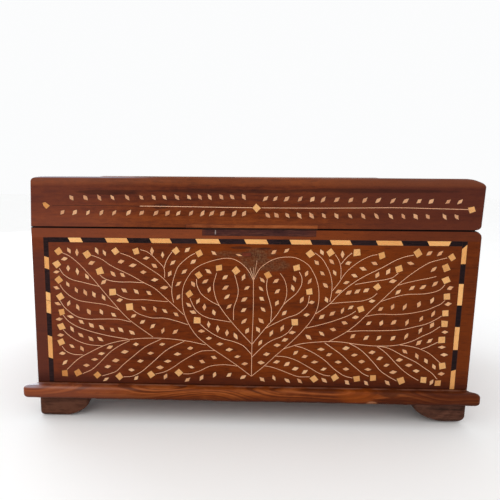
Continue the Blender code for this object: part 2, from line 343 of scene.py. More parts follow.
def patch(paint, x, z, ragged, spot):
    """1 inside an upright ellipse and 0 outside, with a ragged edge, times the patch's share. Middle
    and size are in millimetres, and middle's height counts from the inlay's zero level."""
    across = (x - spot.middle[0] * MM) / (spot.size[0] * MM)
    up = (z - PATTERN_ZERO - spot.middle[1] * MM) / (spot.size[1] * MM)
    inside = paint.rise(across * across + up * up + ragged * 1.6, 1.0 + spot.soft, 1.0 - spot.soft)
    return inside * spot.share


def patches(paint, x, z, ragged, spots):
    """Several patches as one cover, which is never more than 1 where they meet."""
    return paint.rise(sum(patch(paint, x, z, ragged, spot) for spot in spots), 0.0, 1.0)


def seam_shade(paint, z, colour, above):
    """A black line of painted shade along the seam's gap: under it on the body, or above it on the lid."""
    reach = (SEAM + 1.05 * MM, SEAM + 0.75 * MM) if above else (SEAM - 0.75 * MM, SEAM - 0.45 * MM)
    return paint.mix(paint.rise(z, *reach) * 0.95, colour, SEAM_SHADE)


print("patch and dirt tools ready")

# %% [markdown]
# Light falls from the left, and its fall is painted into the front's colour: painted light makes the top rail
# lighter and lays a purplish sheen at the left, and painted shade darkens the rail and the end at the right.
# Its left stile is darker, and the wood darkens towards the ledge and is darkest along it. Round the old
# keyhole a grey-brown filler covers the place where the lock's bolt was.

# %% What lies over the front's wood

FILLED = (
    Patch((-20, 138), (13, 2.6), 0.7, 0.6), Patch((15, 129.5), (14, 5), 0.7),
    Patch((8, 139), (10, 4), 0.7, 0.6), Patch((0, 134), (10, 8), 0.7), Patch((0.5, 124), (4.5, 7), 0.7))
RAIL_MARKS = (Patch((-9.5, 143), (8, 1.1), 0.5), Patch((9, 142.4), (5, 0.8), 0.5))


def front_extras(paint, place, colour, roughness):
    """The uneven rail, lighter at the left and darker at the right, and the darker right end, all painted
    light and shade; a painted purplish sheen at the left; the darker stile; the filler over the heart; the
    wood darker towards the ledge and darkest along it; and the seam's painted shade."""
    x, y, z = place
    ragged = paint.noise(x * 150, y * 150, z * 190, detail=4.0, rough=0.6) - 0.5
    cloud = paint.noise(x * 16, y * 16, z * 22) - 0.5
    rail = paint.rise(z, SEAM - 8.5 * MM, SEAM - 7.5 * MM)
    stile = paint.rise(x, -165 * MM, -168 * MM) * paint.rise(z, SEAM - 12 * MM, SEAM - 26 * MM)
    fill = patches(paint, x, z, ragged, FILLED)
    spots = paint.noise(x * 650, y * 650, z * 650, detail=3.0, rough=0.6)
    filled = paint.mix(paint.rise(spots, 0.4, 0.62), FILLER, FILLER_LIGHT)
    # The wood is darker towards the ledge (low), and darker still in a thin line just above it (foot).
    low = paint.rise(z + ragged * (6 * MM) + cloud * (12 * MM), LEDGE + 11 * MM, LEDGE + 1 * MM)
    foot = paint.rise(z + ragged * (1.2 * MM), LEDGE + 1.2 * MM, LEDGE + 0.4 * MM)
    colour = paint.lay(
        colour,
        # Painted light and shade: the rail is lighter at the left, where the light falls, and darker at the
        # right.
        (rail * paint.rise(x, 140 * MM, -60 * MM) * 0.5, srgb(130, 68, 42)),
        (rail * paint.rise(x, 20 * MM, 150 * MM) * 0.5, srgb(92, 46, 34)),
        # A painted purplish sheen of the light from the left lies over the front's left part.
        (paint.rise(x + cloud * 0.1, -40 * MM, -150 * MM) * 0.32, srgb(112, 58, 46)),
        (stile * 0.6, srgb(76, 40, 34)),
        # Painted shade darkens the front's right end.
        (paint.rise(x + cloud * 0.1, 60 * MM, 165 * MM) * 0.3, srgb(78, 33, 10)),
        (fill * (0.5 + ragged * 1.2), filled),
        (patches(paint, x, z, ragged, RAIL_MARKS) * 0.6, GRIME),
        (low * 0.6, srgb(56, 27, 23)),
        (foot * 0.5, GRIME))
    return seam_shade(paint, z, colour, False), roughness + fill * 0.18 + low * 0.2


FRONT_TONES = tones((72, 27, 7), (97, 39, 8), (116, 50, 11), (122, 54, 7), (52, 19, 7))
front_wood = wood("front_wood", "x", FRONT_TONES, 1, front_extras, spread=1.7)
print("made", front_wood.name)

# %% [markdown]
# The lid turns to a purplish brown at both ends and near its top, darkest at the right: partly the wood's own
# colour and partly painted light and shade, lighter at the left and darker at the right as the light falls
# from the left. A painted highlight lightens its rounded top edge. Its rounded edges are handled smooth, and
# the left end's upper edge carries a glossy coat with a painted bluish reflection of the sky.

# %% What lies over the lid's wood

LID_MARKS = (
    Patch((-113, 185.5), (26, 2.0), 0.6), Patch((-73, 175), (6, 2.2), 0.6),
    Patch((-20, 187), (60, 1.6), 0.8), Patch((90, 188), (60, 1.6), 0.8))


def lid_extras(paint, place, colour, roughness):
    """A lighter lower edge, purplish ends and upper part with painted light at the left end and painted shade
    at the right, marks, a painted highlight on the top edge, a glossy left edge with a painted bluish
    reflection, and the seam's painted shade.
    """
    x, y, z = place
    ragged = paint.noise(x * 90, y * 90, z * 260, detail=4.0, rough=0.6) - 0.5
    cloud = paint.noise(x * 10, y * 10, z * 30) - 0.5
    low = paint.rise(z + cloud * (4 * MM), SEAM + 13 * MM, SEAM + 3 * MM)
    high = paint.rise(z + cloud * (6 * MM), SEAM + 8 * MM, SEAM + 26 * MM)
    # over marks a painted highlight on the rounded top edge, where it catches the light.
    over = paint.rise(z + cloud * (3 * MM), SEAM + 32 * MM, SEAM + 35.5 * MM)
    worn = paint.noise(x * 40, y * 40, z * 120, detail=3.0)
    handled = paint.rise(z, LID_TOP - 6 * MM, LID_TOP - 1.5 * MM) * paint.rise(worn, 0.3, 0.6)
    front = paint.rise(y, FRONT_Y + 40 * MM, FRONT_Y + 10 * MM)
    left_edge = paint.rise(z, LID_TOP - 1.6 * MM, LID_TOP - 0.6 * MM) * paint.rise(x, -70 * MM, -120 * MM)
    gloss_and_painted_reflection = left_edge * front
    colour = paint.lay(
        colour,
        (low * 0.25, srgb(124, 64, 38)),
        # Partly the wood's own colour, partly painted light: the left end is lighter and purplish where the
        # light falls.
        (paint.rise(x + cloud * 0.05, -60 * MM, -160 * MM) * 0.4, srgb(120, 66, 54)),
        # Partly the wood's own colour, partly painted shade: the right end is darkest.
        (paint.rise(x + cloud * 0.05, 20 * MM, 130 * MM) * 0.68, srgb(74, 34, 27)),
        # Painted highlight: over lifts the dark band below the top edge and lightens the edge itself.
        (high * 0.42 - over * 0.3, srgb(72, 34, 29)),
        (over * 0.35, srgb(132, 74, 46)),
        (patches(paint, x, z, ragged, LID_MARKS) * 0.55, GRIME),
        # A painted bluish reflection of the sky on the glossy left edge of the top.
        (gloss_and_painted_reflection * 0.5, srgb(150, 156, 176)))
    paint.feed(paint.shader.inputs["Coat Weight"], handled * 0.1 + gloss_and_painted_reflection * 0.6)
    return seam_shade(paint, z, colour, True), roughness


CASE_TONES = tones((72, 29, 10), (100, 43, 13), (120, 56, 18), (124, 58, 12), (52, 20, 9))
lid_wood = wood("lid_wood", "x", CASE_TONES, 2, lid_extras, spread=1.2)
back_wood = wood("back_wood", "x", CASE_TONES, 3, spread=1.4)
side_wood = wood("side_wood", "y", CASE_TONES, 4, spread=1.4)
print("made", lid_wood.name, back_wood.name, side_wood.name)

# %% [markdown]
# The moulding has its own figure: crisp dark and light lines that sway, a knot near its right end
# with an orange glow before it, and a fresh bruise on the lower edge between the two.

# %% What lies over the moulding's wood

GLOW = Patch((86, 25), (16, 7), 0.8)
KNOT = Patch((113, 23), (17, 7), 0.9)
BRUISE = Patch((97, 19), (4.5, 1.8))


def moulding_extras(paint, place, colour, roughness):
    """Crisp grain lines, a dark lower edge of painted shade, a glow, a knot's swirl and a bruise, a paler
    left end, partly painted light, with a painted bluish reflection at its tip, a darker right end, partly
    painted shade, and dust where the moulding meets the wall."""
    x, y, z = place
    ragged = paint.noise(x * 90, y * 90, z * 160, detail=3.0) - 0.5
    rings = paint.noise(x * 60, y * 60, z * 420, detail=3.0)
    sway = paint.noise(x * 9, y * 9, z * 40, detail=1.0) - 0.5
    crisp = paint.noise(x * 5, y * 60, (z + sway * 0.03) * 900, detail=2.0, rough=0.4)
    # Painted shade: the lower half of the moulding's face is darker, away from the light above.
    lower = paint.rise(z + ragged * (2 * MM), LEDGE - 3.5 * MM, base_low.z + 1 * MM)
    knot = patch(paint, x, z, ragged, KNOT) * paint.rise(rings, 0.42, 0.58)
    bruise = patch(paint, x, z, ragged, BRUISE)
    # Partly the wood's own colour, partly painted light: the left end is paler.
    left = paint.rise(x, -70 * MM, -160 * MM)
    # A painted bluish reflection of the sky on the top of the moulding's left tip.
    painted_tip_reflection = paint.rise(x, -168 * MM, -178 * MM) * paint.rise(z, LEDGE - 2.2 * MM, LEDGE - 1 * MM)
    # Painted shade under the moulding's lowest, downward-facing edge.
    under = paint.rise(z + ragged * (2 * MM), base_low.z + 3 * MM, base_low.z + 0.5 * MM)
    wall = paint.rise(y + ragged * (2 * MM), FRONT_Y - 3.4 * MM, FRONT_Y - 1.6 * MM)
    dust = wall * paint.rise(ragged, -0.15, 0.05)
    shine = paint.rise(z, LEDGE - 3 * MM, LEDGE - 0.3 * MM)
    colour = paint.lay(
        colour,
        (paint.rise(crisp, 0.48, 0.4) * 0.75, srgb(70, 28, 10)),
        (paint.rise(crisp, 0.54, 0.64) * 0.5, srgb(158, 88, 44)),
        (lower * 0.75, srgb(62, 25, 12)),
        (patch(paint, x, z, ragged, GLOW) * 0.45, srgb(142, 66, 14)),
        (knot * 0.7, srgb(54, 21, 9)),
        (bruise * 0.8, srgb(168, 112, 78)),
        (left * 0.4, srgb(140, 78, 58)),
        (painted_tip_reflection * 0.6, srgb(150, 146, 160)),
        # Partly the wood's own colour, partly painted shade: the right end is darker.
        (paint.rise(x, 85 * MM, 150 * MM) * 0.62, srgb(66, 26, 10)),
        (under * 0.5, srgb(56, 24, 16)),
        (dust * 0.55, srgb(140, 100, 84)))
    paint.feed(paint.shader.inputs["Coat Weight"], shine * (0.1 + left * 0.8))
    return colour, roughness + bruise * 0.3 + dust * 0.2


MOULDING_TONES = tones((84, 34, 10), (114, 52, 18), (138, 72, 30), (132, 62, 18), (60, 24, 9))
moulding_wood = wood("moulding_wood", "x", MOULDING_TONES, 6, moulding_extras, sweep=0.03, reach=3.0,
                     spread=1.5)
print("made", moulding_wood.name)

# %% Feet, strips and plug

FOOT_TONES = tones((50, 30, 22), (76, 46, 35), (98, 62, 48), (80, 46, 30), (34, 20, 15))
DARK_TONES = tones((42, 22, 21), (62, 33, 30), (78, 42, 34), (74, 38, 27), (30, 16, 15))
PALE_TONES = tones((104, 48, 24), (136, 72, 38), (156, 88, 48), (146, 76, 34), (80, 36, 16))
PLUG_TONES = tones((74, 32, 20), (96, 42, 26), (112, 52, 34), (104, 46, 28), (52, 22, 14))


def dark_strip_extras(paint, place, colour, roughness):
    """Pale streaks, ends that are hardly darker than the wood beside them, and the seam's painted shade."""
    x, y, z = place
    streak = paint.noise(x * 80, y * 100, z * 700, detail=4.0, rough=0.6)
    ends = paint.rise(x, -35 * MM, -41 * MM) + paint.rise(x, 34 * MM, 50 * MM)
    colour = paint.lay(
        colour,
        (paint.rise(streak, 0.5, 0.72) * 0.35, srgb(116, 70, 54)),
        (paint.rise(ends, 0.0, 1.0) * 0.4, srgb(96, 46, 32)))
    return seam_shade(paint, z, colour, False), roughness


def pale_strip_extras(paint, place, colour, roughness):
    """Only the seam's painted shade."""
    return seam_shade(paint, place[2], colour, True), roughness


foot_wood = wood("foot_wood", "x", FOOT_TONES, 7, glow=0.3)
dark_strip_wood = wood("dark_strip_wood", "x", DARK_TONES, 8, dark_strip_extras, glow=0.2, spread=1.4)
pale_strip_wood = wood("pale_strip_wood", "x", PALE_TONES, 9, pale_strip_extras, glow=0.4)
plug_wood = wood("plug_wood", "x", PLUG_TONES, 10, glow=0.3)
print("made", foot_wood.name, dark_strip_wood.name, pale_strip_wood.name, plug_wood.name)

# %% [markdown]
# ## Bone, ebony and wire
# Bone is pale, a little waxy, and never one colour twice: each slip was sawn from another place.
# A number called tone, kept on each slip's vertices, picks its shade. Another, called rim, is 1 at
# the slip's edge, where glue and polish have stained it. Fine lines run along each slip, so the
# slips also carry their own coordinates, called grain.

# %% Finishes of the inlay


def bone(name, pale, warm, stain, roughness=0.36):
    """Bone that goes from pale to warm with the slip's tone, streaked along it, stained at its rim."""
    paint = Paint(name)
    tone = paint.attribute("tone")
    rim = paint.attribute("rim")
    grain = paint.attribute("grain", "Vector")
    along, across, own = [paint.node("ShaderNodeSeparateXYZ", {}, {0: grain}, axis) for axis in "XYZ"]
    lines = paint.noise(along * 120, across * 1400, own * 50, detail=3.0)
    spots = paint.noise(along * 500, across * 500, own * 50 + 9, detail=2.0)
    colour = paint.lay(
        paint.mix(tone, pale, warm),
        (paint.rise(lines, 0.5, 0.7) * 0.28, stain),
        (paint.rise(spots, 0.6, 0.72) * 0.25, stain),
        (rim * 0.5, stain))
    normal = paint.bump(lines, 0.05 * MM)
    return paint.finish(colour, roughness + lines * 0.15, normal, Specular_IOR_Level=0.2,
                        Subsurface_Weight=0.08, Subsurface_Scale=1 * MM)


def ebony_finish():
    """Nearly black wood with brownish pores and a low gloss, blackest towards the box's right."""
    paint = Paint("ebony")
    x, y, z = paint.place()
    figure = paint.noise(x * 160, y * 300, z * 900, detail=4.0)
    pores = paint.noise(x * 500, y * 900, z * 2600, detail=2.0)
    colour = paint.lay(
        paint.mix(paint.rise(figure, 0.35, 0.65), srgb(16, 9, 11), srgb(36, 21, 24)),
        (paint.rise(pores, 0.6, 0.7) * 0.4, srgb(76, 50, 42)),
        (paint.attribute("tone") * 0.3, srgb(58, 36, 34)),
        (paint.rise(x, 40 * MM, 170 * MM) * 0.5, srgb(14, 5, 7)))
    return paint.finish(colour, 0.4 + figure * 0.2, paint.bump(pores, 0.06 * MM), Specular_IOR_Level=0.06)


def old_glue():
    """The brown-black line of old glue and dirt round every slip."""
    paint = Paint("old_glue")
    x, y, z = paint.place()
    crumbs = paint.noise(x * 700, y * 700, z * 700, detail=3.0)
    colour = paint.mix(crumbs, srgb(40, 22, 16), srgb(74, 38, 24))
    return paint.finish(colour, 0.7 + crumbs * 0.2, paint.bump(crumbs, 0.05 * MM), Specular_IOR_Level=0.15)


def nail_steel():
    """A dull, scratched nail."""
    paint = Paint("nail_steel")
    x, y, z = paint.place()
    rust = paint.noise(x * 900, y * 900, z * 900, detail=4.0)
    colour = paint.mix(paint.rise(rust, 0.45, 0.65), srgb(150, 140, 136), srgb(104, 66, 50))
    paint.feed(paint.shader.inputs["Metallic"], paint.rise(rust, 0.6, 0.45) * 0.8)
    return paint.finish(colour, 0.45 + rust * 0.3, paint.bump(rust, 0.04 * MM))


STAIN = srgb(150, 88, 48)
tile_bone = bone("tile_bone", srgb(236, 180, 114), srgb(218, 154, 88), STAIN)
flower_bone = bone("flower_bone", srgb(220, 165, 105), srgb(204, 143, 81), STAIN)
leaf_bone = bone("leaf_bone", srgb(222, 173, 128), srgb(207, 149, 104), srgb(140, 82, 54))
dull_bone = bone("dull_bone", srgb(214, 164, 122), srgb(190, 134, 96), srgb(120, 68, 46))
orange_bone = bone("orange_bone", srgb(210, 146, 82), srgb(190, 124, 62), srgb(110, 62, 34))
wire_bone = bone("wire_bone", srgb(248, 192, 154), srgb(232, 172, 134), srgb(180, 120, 86), 0.42)
ebony = ebony_finish()
glue = old_glue()
steel = nail_steel()
print("inlay finishes: six bones, ebony, glue, steel")

# %% [markdown]
# ## From numbers to meshes
# Every new piece is a skin of quads between rings of points: a ring is the outline of the piece at
# one place, and the rings follow each other along it. A board is rings stacked upwards, a stem is
# rings along its path, and a bone slip is rings from its buried underside to its worn top.

# %% Skins of rings

SHARP_EDGE = math.radians(35)


def ring_faces(rows, count, start=0):
    """Quads between neighbouring rings, and a flat face on the first and the last.

    A ring goes round to the left when it is seen from the way that the rings advance, so every face
    points outwards.
    """
    near = start + np.arange(rows - 1)[:, None] * count + np.arange(count)[None, :]
    after = start + np.arange(rows - 1)[:, None] * count + (np.arange(count)[None, :] + 1) % count
    quads = np.stack((near, after, after + count, near + count), axis=-1).reshape(-1, 4)
    first = start + np.arange(count)[::-1]
    last = start + (rows - 1) * count + np.arange(count)
    return quads.tolist() + [first.tolist(), last.tolist()]


def make_piece(name, points, faces, material, stands_for=(), attributes=None):
    """A finished piece of the box, in place, riding on the box's one body."""
    mesh = bpy.data.meshes.new(name)
    mesh.from_pydata(np.asarray(points).reshape(-1, 3).tolist(), [], faces)
    for label, values in (attributes or {}).items():
        values = np.asarray(values, np.float32)
        kind, field = ("FLOAT", "value") if values.ndim == 1 else ("FLOAT_VECTOR", "vector")
        mesh.attributes.new(label, kind, "POINT").data.foreach_set(field, values.ravel())
    mesh.materials.append(material)
    mesh.shade_smooth()
    mesh.set_sharp_from_angle(angle=SHARP_EDGE)
    piece = put(name, mesh)
    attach(piece, "root")
    if stands_for:
        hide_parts(*stands_for)
    return piece


print("skins ready")

# %% [markdown]
# ## Boards
# A real board's edges aren't knife-sharp. Its corners are rounded in plan, its upper and lower
# edges are eased with a plane and then worn by hands. Blender's Bevel gives every edge one radius.
# Here the easing is a radius that may change along the board, so wear and chips can be part of it.

# %% Outline of a rectangle with round corners

CORNER_SIGNS = np.array(((-1, -1), (1, -1), (1, 1), (-1, 1)))
CORNER_STEPS = 6
STRAIGHT_SPACING = 4 * MM


def outline_recipe(width, depth):
    """How each point of the outline is made: it blends from one corner's arc to the next corner's.

    The outline starts at the left front corner and goes round to the left, seen from above. Points
    on an arc belong to one corner. Points on a straight edge lie a share of the way to the next.
    """
    first, second, facing, share = [], [], [], []
    for corner in range(4):
        turns = math.radians(180 + 90 * corner) + np.linspace(0, math.pi / 2, CORNER_STEPS + 1)
        length = (width, depth)[corner % 2]
        count = max(2, round(length / STRAIGHT_SPACING))
        between = np.arange(1, count) / count
        first += [corner] * (len(turns) + len(between))
        second += [corner] * len(turns) + [(corner + 1) % 4] * len(between)
        facing += list(turns) + [turns[-1]] * len(between)
        share += [0.0] * len(turns) + list(between)
    return np.array(first), np.array(second), np.array(facing), np.array(share)


def outline(recipe, low, high, radii):
    """The outline's points. low and high are (x, y) pairs of numbers or of arrays, one row for each
    ring, and radii are the four corner radii in the same form."""
    first, second, facing, share = recipe
    towards = (np.cos(facing), np.sin(facing))
    flat = []
    for axis in range(2):
        ends = []
        for corner in (first, second):
            radius = np.take_along_axis(radii, np.broadcast_to(corner, radii.shape[:1] + corner.shape), 1)
            centre = np.where(CORNER_SIGNS[corner, axis] < 0, low[axis] + radius, high[axis] - radius)
            ends.append(centre + radius * towards[axis])
        flat.append(ends[0] * (1 - share) + ends[1] * share)
    return np.stack(flat, axis=-1)


def wobble(distance, seed, length):
    """Smooth unevenness between about -1 and 1: the sum of four waves of random phase."""
    rng = np.random.default_rng(seed)
    waves = [length / factor for factor in (1, 2.3, 4.1, 7.7)]
    return sum(0.45 * np.sin(2 * math.pi * (distance / wave + rng.random())) for wave in waves)


# %% Boards with eased and worn edges

EASE_STEPS = 5
FLAT_MARGIN = 0.8 * MM
LEAST_RADIUS = 0.15 * MM
WEAR_LENGTH = 120 * MM


def board_rings(low, high, corners, lower, upper, worn=0.2, seed=1):
    """Rings of a board from its underside to its top.

    On an edge of radius r the outline stands in by r * (1 - sin t) at the height r * (1 - cos t)
    above the underside, for t from 0 to a right angle, and the same downwards at the top. lower
    and upper are radii, or functions that give a radius for each (x, y) of the outline.
    """
    low, high = np.array(low), np.array(high)
    recipe = outline_recipe(high[0] - low[0], high[1] - low[1])
    full = outline(recipe, low[:2], high[:2], np.array([corners]))[0]
    uneven = 1 + worn * wobble(walk(full), seed, WEAR_LENGTH)
    ease_low = (lower(full[:, 0], full[:, 1]) if callable(lower) else lower) * uneven
    ease_high = (upper(full[:, 0], full[:, 1]) if callable(upper) else upper) * uneven[::-1]
    turn = np.linspace(0, math.pi / 2, EASE_STEPS + 1)[:, None]
    inwards = np.vstack((ease_low + FLAT_MARGIN, ease_low * (1 - np.sin(turn)),
                         (ease_high * (1 - np.sin(turn)))[::-1], ease_high + FLAT_MARGIN))
    heights = np.vstack((np.zeros_like(ease_low) + low[2], low[2] + ease_low * (1 - np.cos(turn)),
                         (high[2] - ease_high * (1 - np.cos(turn)))[::-1],
                         np.zeros_like(ease_high) + high[2]))
    radii = np.maximum(np.array(corners) - inwards.mean(axis=1, keepdims=True), LEAST_RADIUS)
    plan = outline(recipe, low[:2, None, None] + inwards, high[:2, None, None] - inwards, radii)
    return np.concatenate((plan, heights[..., None]), axis=-1)


def make_board(node, material, corners, lower, upper, worn=0.2, seed=1, top=None, bend=None):
    """Stands for one CAD board with a finer skin between the same two corners.

    top is a height to use in place of the board's own, and bend moves the rings' points.
    """
    low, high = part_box(node)
    if top is not None:
        high = (high.x, high.y, top)
    rings = board_rings(low, high, corners, lower, upper, worn, seed)
    if bend is not None:
        rings = bend(rings)
    return make_piece(node + "_board", rings, ring_faces(*rings.shape[:2]), material, (node,))


ROUND = 2 * MM
SQUARE = 0.3 * MM
TIGHT = 0.05 * MM
EASE = 0.6 * MM
WORN_CORNER = 4.2 * MM
LEFT_LEAN = 1.4 * MM
RIGHT_LEAN = 1.0 * MM
LEAN_REACH = 60 * MM


def slope(value, start, end):
    """0 at start, 1 at end and a smooth slope between them."""
    share = np.clip((value - start) / (end - start), 0, 1)
    return share ** 2 * (3 - 2 * share)


def seam_edge(x, y):
    """The edges that meet at the seam: eased a little, and worn round at the right front corner."""
    corner = slope(x, SIDE_X - 6 * MM, SIDE_X - 0.5 * MM) * slope(y, FRONT_Y + 60 * MM, FRONT_Y + 10 * MM)
    return EASE + (WORN_CORNER - EASE) * corner


def lean(rings):
    """The lid's ends lean: the left end inwards towards the top, the right end inwards lower down."""
    share = (rings[..., 2] - SEAM) / (LID_TOP - SEAM)
    leaning = rings.copy()
    leaning[..., 0] += LEFT_LEAN * share * slope(rings[..., 0], -SIDE_X + LEAN_REACH, -SIDE_X)
    leaning[..., 0] -= RIGHT_LEAN * (1 - share) * slope(rings[..., 0], SIDE_X - LEAN_REACH, SIDE_X)
    return leaning


front_corners = (ROUND, ROUND, SQUARE, SQUARE)
back_corners = (SQUARE, SQUARE, ROUND, ROUND)
plain_corners = (SQUARE, SQUARE, SQUARE, SQUARE)
all_corners = (ROUND, ROUND, ROUND, ROUND)
BOARDS = (
    ("body_front", front_wood, front_corners, SQUARE, seam_edge),
    ("body_back", back_wood, back_corners, SQUARE, EASE),
    ("body_left", side_wood, plain_corners, SQUARE, EASE),
    ("body_right", side_wood, plain_corners, SQUARE, seam_edge),
    ("lid_front", lid_wood, front_corners, seam_edge, TIGHT),
    ("lid_back", back_wood, back_corners, EASE, TIGHT),
    ("lid_left", side_wood, plain_corners, EASE, TIGHT),
    ("lid_right", side_wood, plain_corners, seam_edge, TIGHT),
)
for number, (node, finish, corners, lower, upper) in enumerate(BOARDS):
    slot, top, bend = ("lid_wood", LID_JOINT, lean) if node.startswith("lid") else ("body_wood", None, None)
    make_board(node, finish, corners, lower, upper, seed=11 + number, top=top, bend=bend)
make_board("base_board", back_wood, all_corners, SQUARE, SQUARE, seed=20)
print("walls, rims and base:", 9)

# %% [markdown]
# The lid's top board is rounded over more than the rest, and it is worn down towards both ends, more
# at the right, perhaps where it was always lifted. The strip along the base is a full moulding with
# one chip in its lower edge. Both are the same skin, with the edge's radius as a function of the place.

# %% The lid's top board and the base's moulding

LID_ROUND = 4.5 * MM
END_ROUND = 2.0 * MM
RIGHT_END_WORN = 14.5 * MM
RIGHT_END_DROP = 7.3 * MM
LEFT_END_WORN = 9 * MM
LEFT_END_DROP = 3.5 * MM
TOP_INSET = 0.15 * MM
MOULDING_ROUND = 3.4 * MM
MOULDING_TOP_ROUND = 3.0 * MM
CHIP_X = 96.5 * MM
CHIP_HALF = 3.5 * MM
CHIP_DEPTH = 1.3 * MM
MOULDING_END_WORN = 9 * MM
MOULDING_END_SUNK = 0.1
SLANT_FROM = 1 * MM


def lid_edge(x, y):
    """Round along the front and the back, and less round at the ends, which worn_ends wears down."""
    return LID_ROUND + (END_ROUND - LID_ROUND) * slope(np.abs(x), SIDE_X - 2.2 * MM, SIDE_X - 0.2 * MM)


def worn_ends(rings):
    """Rounds the lid's top down at both ends by a quarter of an ellipse, and makes the ends lean.

    The drop is 1 - sqrt(1 - t * t) of its full size, where t is how far into the worn part a point
    lies. Points below the top sink in proportion.
    """
    x, height = rings[..., 0], rings[..., 2] - LID_JOINT
    right = np.clip((x - SIDE_X + RIGHT_END_WORN) / RIGHT_END_WORN, 0, 1)
    left = np.clip((-SIDE_X + LEFT_END_WORN - x) / LEFT_END_WORN, 0, 1)
    drop = RIGHT_END_DROP * (1 - np.sqrt(1 - right ** 2)) + LEFT_END_DROP * (1 - np.sqrt(1 - left ** 2))
    bent = rings.copy()
    bent[..., 2] = LID_JOINT + height * (1 - drop / (LID_TOP - LID_JOINT))
    return lean(bent)


def moulding_ends(rings):
    """The moulding's top is worn down a little towards its ends, which are cut at a slant so that they
    run back to the box's corners."""
    x, height = rings[..., 0], rings[..., 2] - base_low.z
    straight = base_low.y + MOULDING_ROUND
    back = np.clip((rings[..., 1] - straight) / (base_high.y - straight), 0, 1)
    right = np.clip((x - base_high.x + MOULDING_END_WORN) / MOULDING_END_WORN, 0, 1)
    left = np.clip((base_low.x + MOULDING_END_WORN - x) / MOULDING_END_WORN, 0, 1)
    past_right = np.clip(x - SIDE_X + SLANT_FROM, 0, None)
    past_left = np.clip(x + SIDE_X - SLANT_FROM, None, 0)
    bent = rings.copy()
    bent[..., 0] -= back * past_right + back * past_left
    bent[..., 2] = base_low.z + height * (1 - MOULDING_END_SUNK * (right ** 2 + left ** 2))
    return bent


def square_at_wall(y, radius):
    """The radius in front of the wall, which turns square where the moulding meets it."""
    back = slope(y, FRONT_Y - 2.5 * MM, FRONT_Y - 0.5 * MM)
    return radius * (1 - back) + SQUARE * back


def moulding_lower(x, y):
    """Round at the front and the ends, with a chip out of the front edge, and square at the back."""
    chip = np.exp(-((x - CHIP_X) / CHIP_HALF) ** 4) * (y < FRONT_Y - 4 * MM)
    return square_at_wall(y, MOULDING_ROUND + CHIP_DEPTH * chip)


def moulding_upper(x, y):
    """A little less round than the lower edge, and square at the back."""
    return square_at_wall(y, MOULDING_TOP_ROUND)


moulding_corners = (MOULDING_ROUND, MOULDING_ROUND, SQUARE, SQUARE)
make_board("lid_top", lid_wood, all_corners, TIGHT, lid_edge, worn=0.1, seed=19,
           top=LID_TOP - TOP_INSET, bend=worn_ends)
make_board("base_moulding", moulding_wood, moulding_corners, moulding_lower,
           moulding_upper, worn=0.12, seed=20, bend=moulding_ends)
print("lid top and moulding made")

# %% [markdown]
# ## Feet
# A foot is a block swept up on its two inner sides. It is made of level rings too: the outer faces
# round under on a quarter circle, and the inner faces climb along half a parabola. The front feet
# aren't a pair: the right one is worn rounder outside and is swept up further inside.

# %% Bracket feet

Foot = collections.namedtuple("Foot", "under toe reach shoulder inset")
PLAIN_FOOT = Foot(4 * MM, 22 * MM, 42 * MM, 14 * MM, 0)
LEFT_FOOT = Foot(3.6 * MM, 24 * MM, 41.5 * MM, 12 * MM, 0.8 * MM)
RIGHT_FOOT = Foot(7.5 * MM, 15.5 * MM, 42 * MM, 15.5 * MM, 0)
FOOT_CORNER = 2 * MM
FOOT_LEVELS = 26


def foot_rings(corner, side, face, top, foot):
    """Rings of a foot under the box's corner at (x, y). side and face are the corner's signs."""
    level = (top * (1 - np.cos(np.linspace(0, math.pi / 2, FOOT_LEVELS))))[:, None]
    under = np.clip(foot.under - level, 0, None)
    inset = foot.inset + foot.under - np.sqrt(foot.under ** 2 - under ** 2)
    climb = np.clip(1 - level / foot.shoulder, 0, None)
    reach = foot.reach - (foot.reach - foot.toe) * climb ** 2
    ends = []
    for place, sign in zip(corner, (side, face)):
        outer = place - sign * inset
        inner = place - sign * reach
        ends.append((np.minimum(outer, inner), np.maximum(outer, inner)))
    recipe = outline_recipe(foot.reach, foot.reach)
    radii = np.full((FOOT_LEVELS, 4), FOOT_CORNER)
    plan = outline(recipe, (ends[0][0], ends[1][0]), (ends[0][1], ends[1][1]), radii)
    heights = np.broadcast_to(level[..., None], plan.shape[:2] + (1,))
    return np.concatenate((plan, heights), axis=-1)


for face_name, face, corner_y in (("front", -1, FRONT_Y), ("back", 1, BACK_Y)):
    for side_name, side in (("left", -1), ("right", 1)):
        node = f"foot_{face_name}_{side_name}"
        foot = {"foot_front_left": LEFT_FOOT, "foot_front_right": RIGHT_FOOT}.get(node, PLAIN_FOOT)
        rings = foot_rings((side * SIDE_X, corner_y), side, face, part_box(node)[1].z, foot)
        make_piece(node + "_block", rings, ring_faces(*rings.shape[:2]), foot_wood, (node,))
print("feet:", 4)

# %% [markdown]
# ## Letting slips into a face
# The carver cut a shallow bed for every slip, glued it in, and scraped the face level. The slips
# stand a hair proud now, because wood shrinks across its grain and bone doesn't. A flat face is
# a sheet to draw on, so places on it are two numbers in millimetres, and one function turns any
# outlines drawn there into closed slips with a worn, rounded top edge.

# %% Faces to draw on

Sheet = collections.namedtuple("Sheet", "origin right up out")
FRONT_FROM_GROUND = Sheet((0, FRONT_Y, 0), (1, 0, 0), (0, 0, 1), (0, -1, 0))
FRONT = FRONT_FROM_GROUND._replace(origin=(0, FRONT_Y, PATTERN_ZERO))
LEFT = Sheet((-SIDE_X, MIDDLE_Y, PATTERN_ZERO), (0, -1, 0), (0, 0, 1), (-1, 0, 0))
RIGHT = Sheet((SIDE_X, MIDDLE_Y, PATTERN_ZERO), (0, 1, 0), (0, 0, 1), (1, 0, 0))
TOP = Sheet((0, MIDDLE_Y, LID_TOP - TOP_INSET), (1, 0, 0), (0, 1, 0), (0, 0, 1))


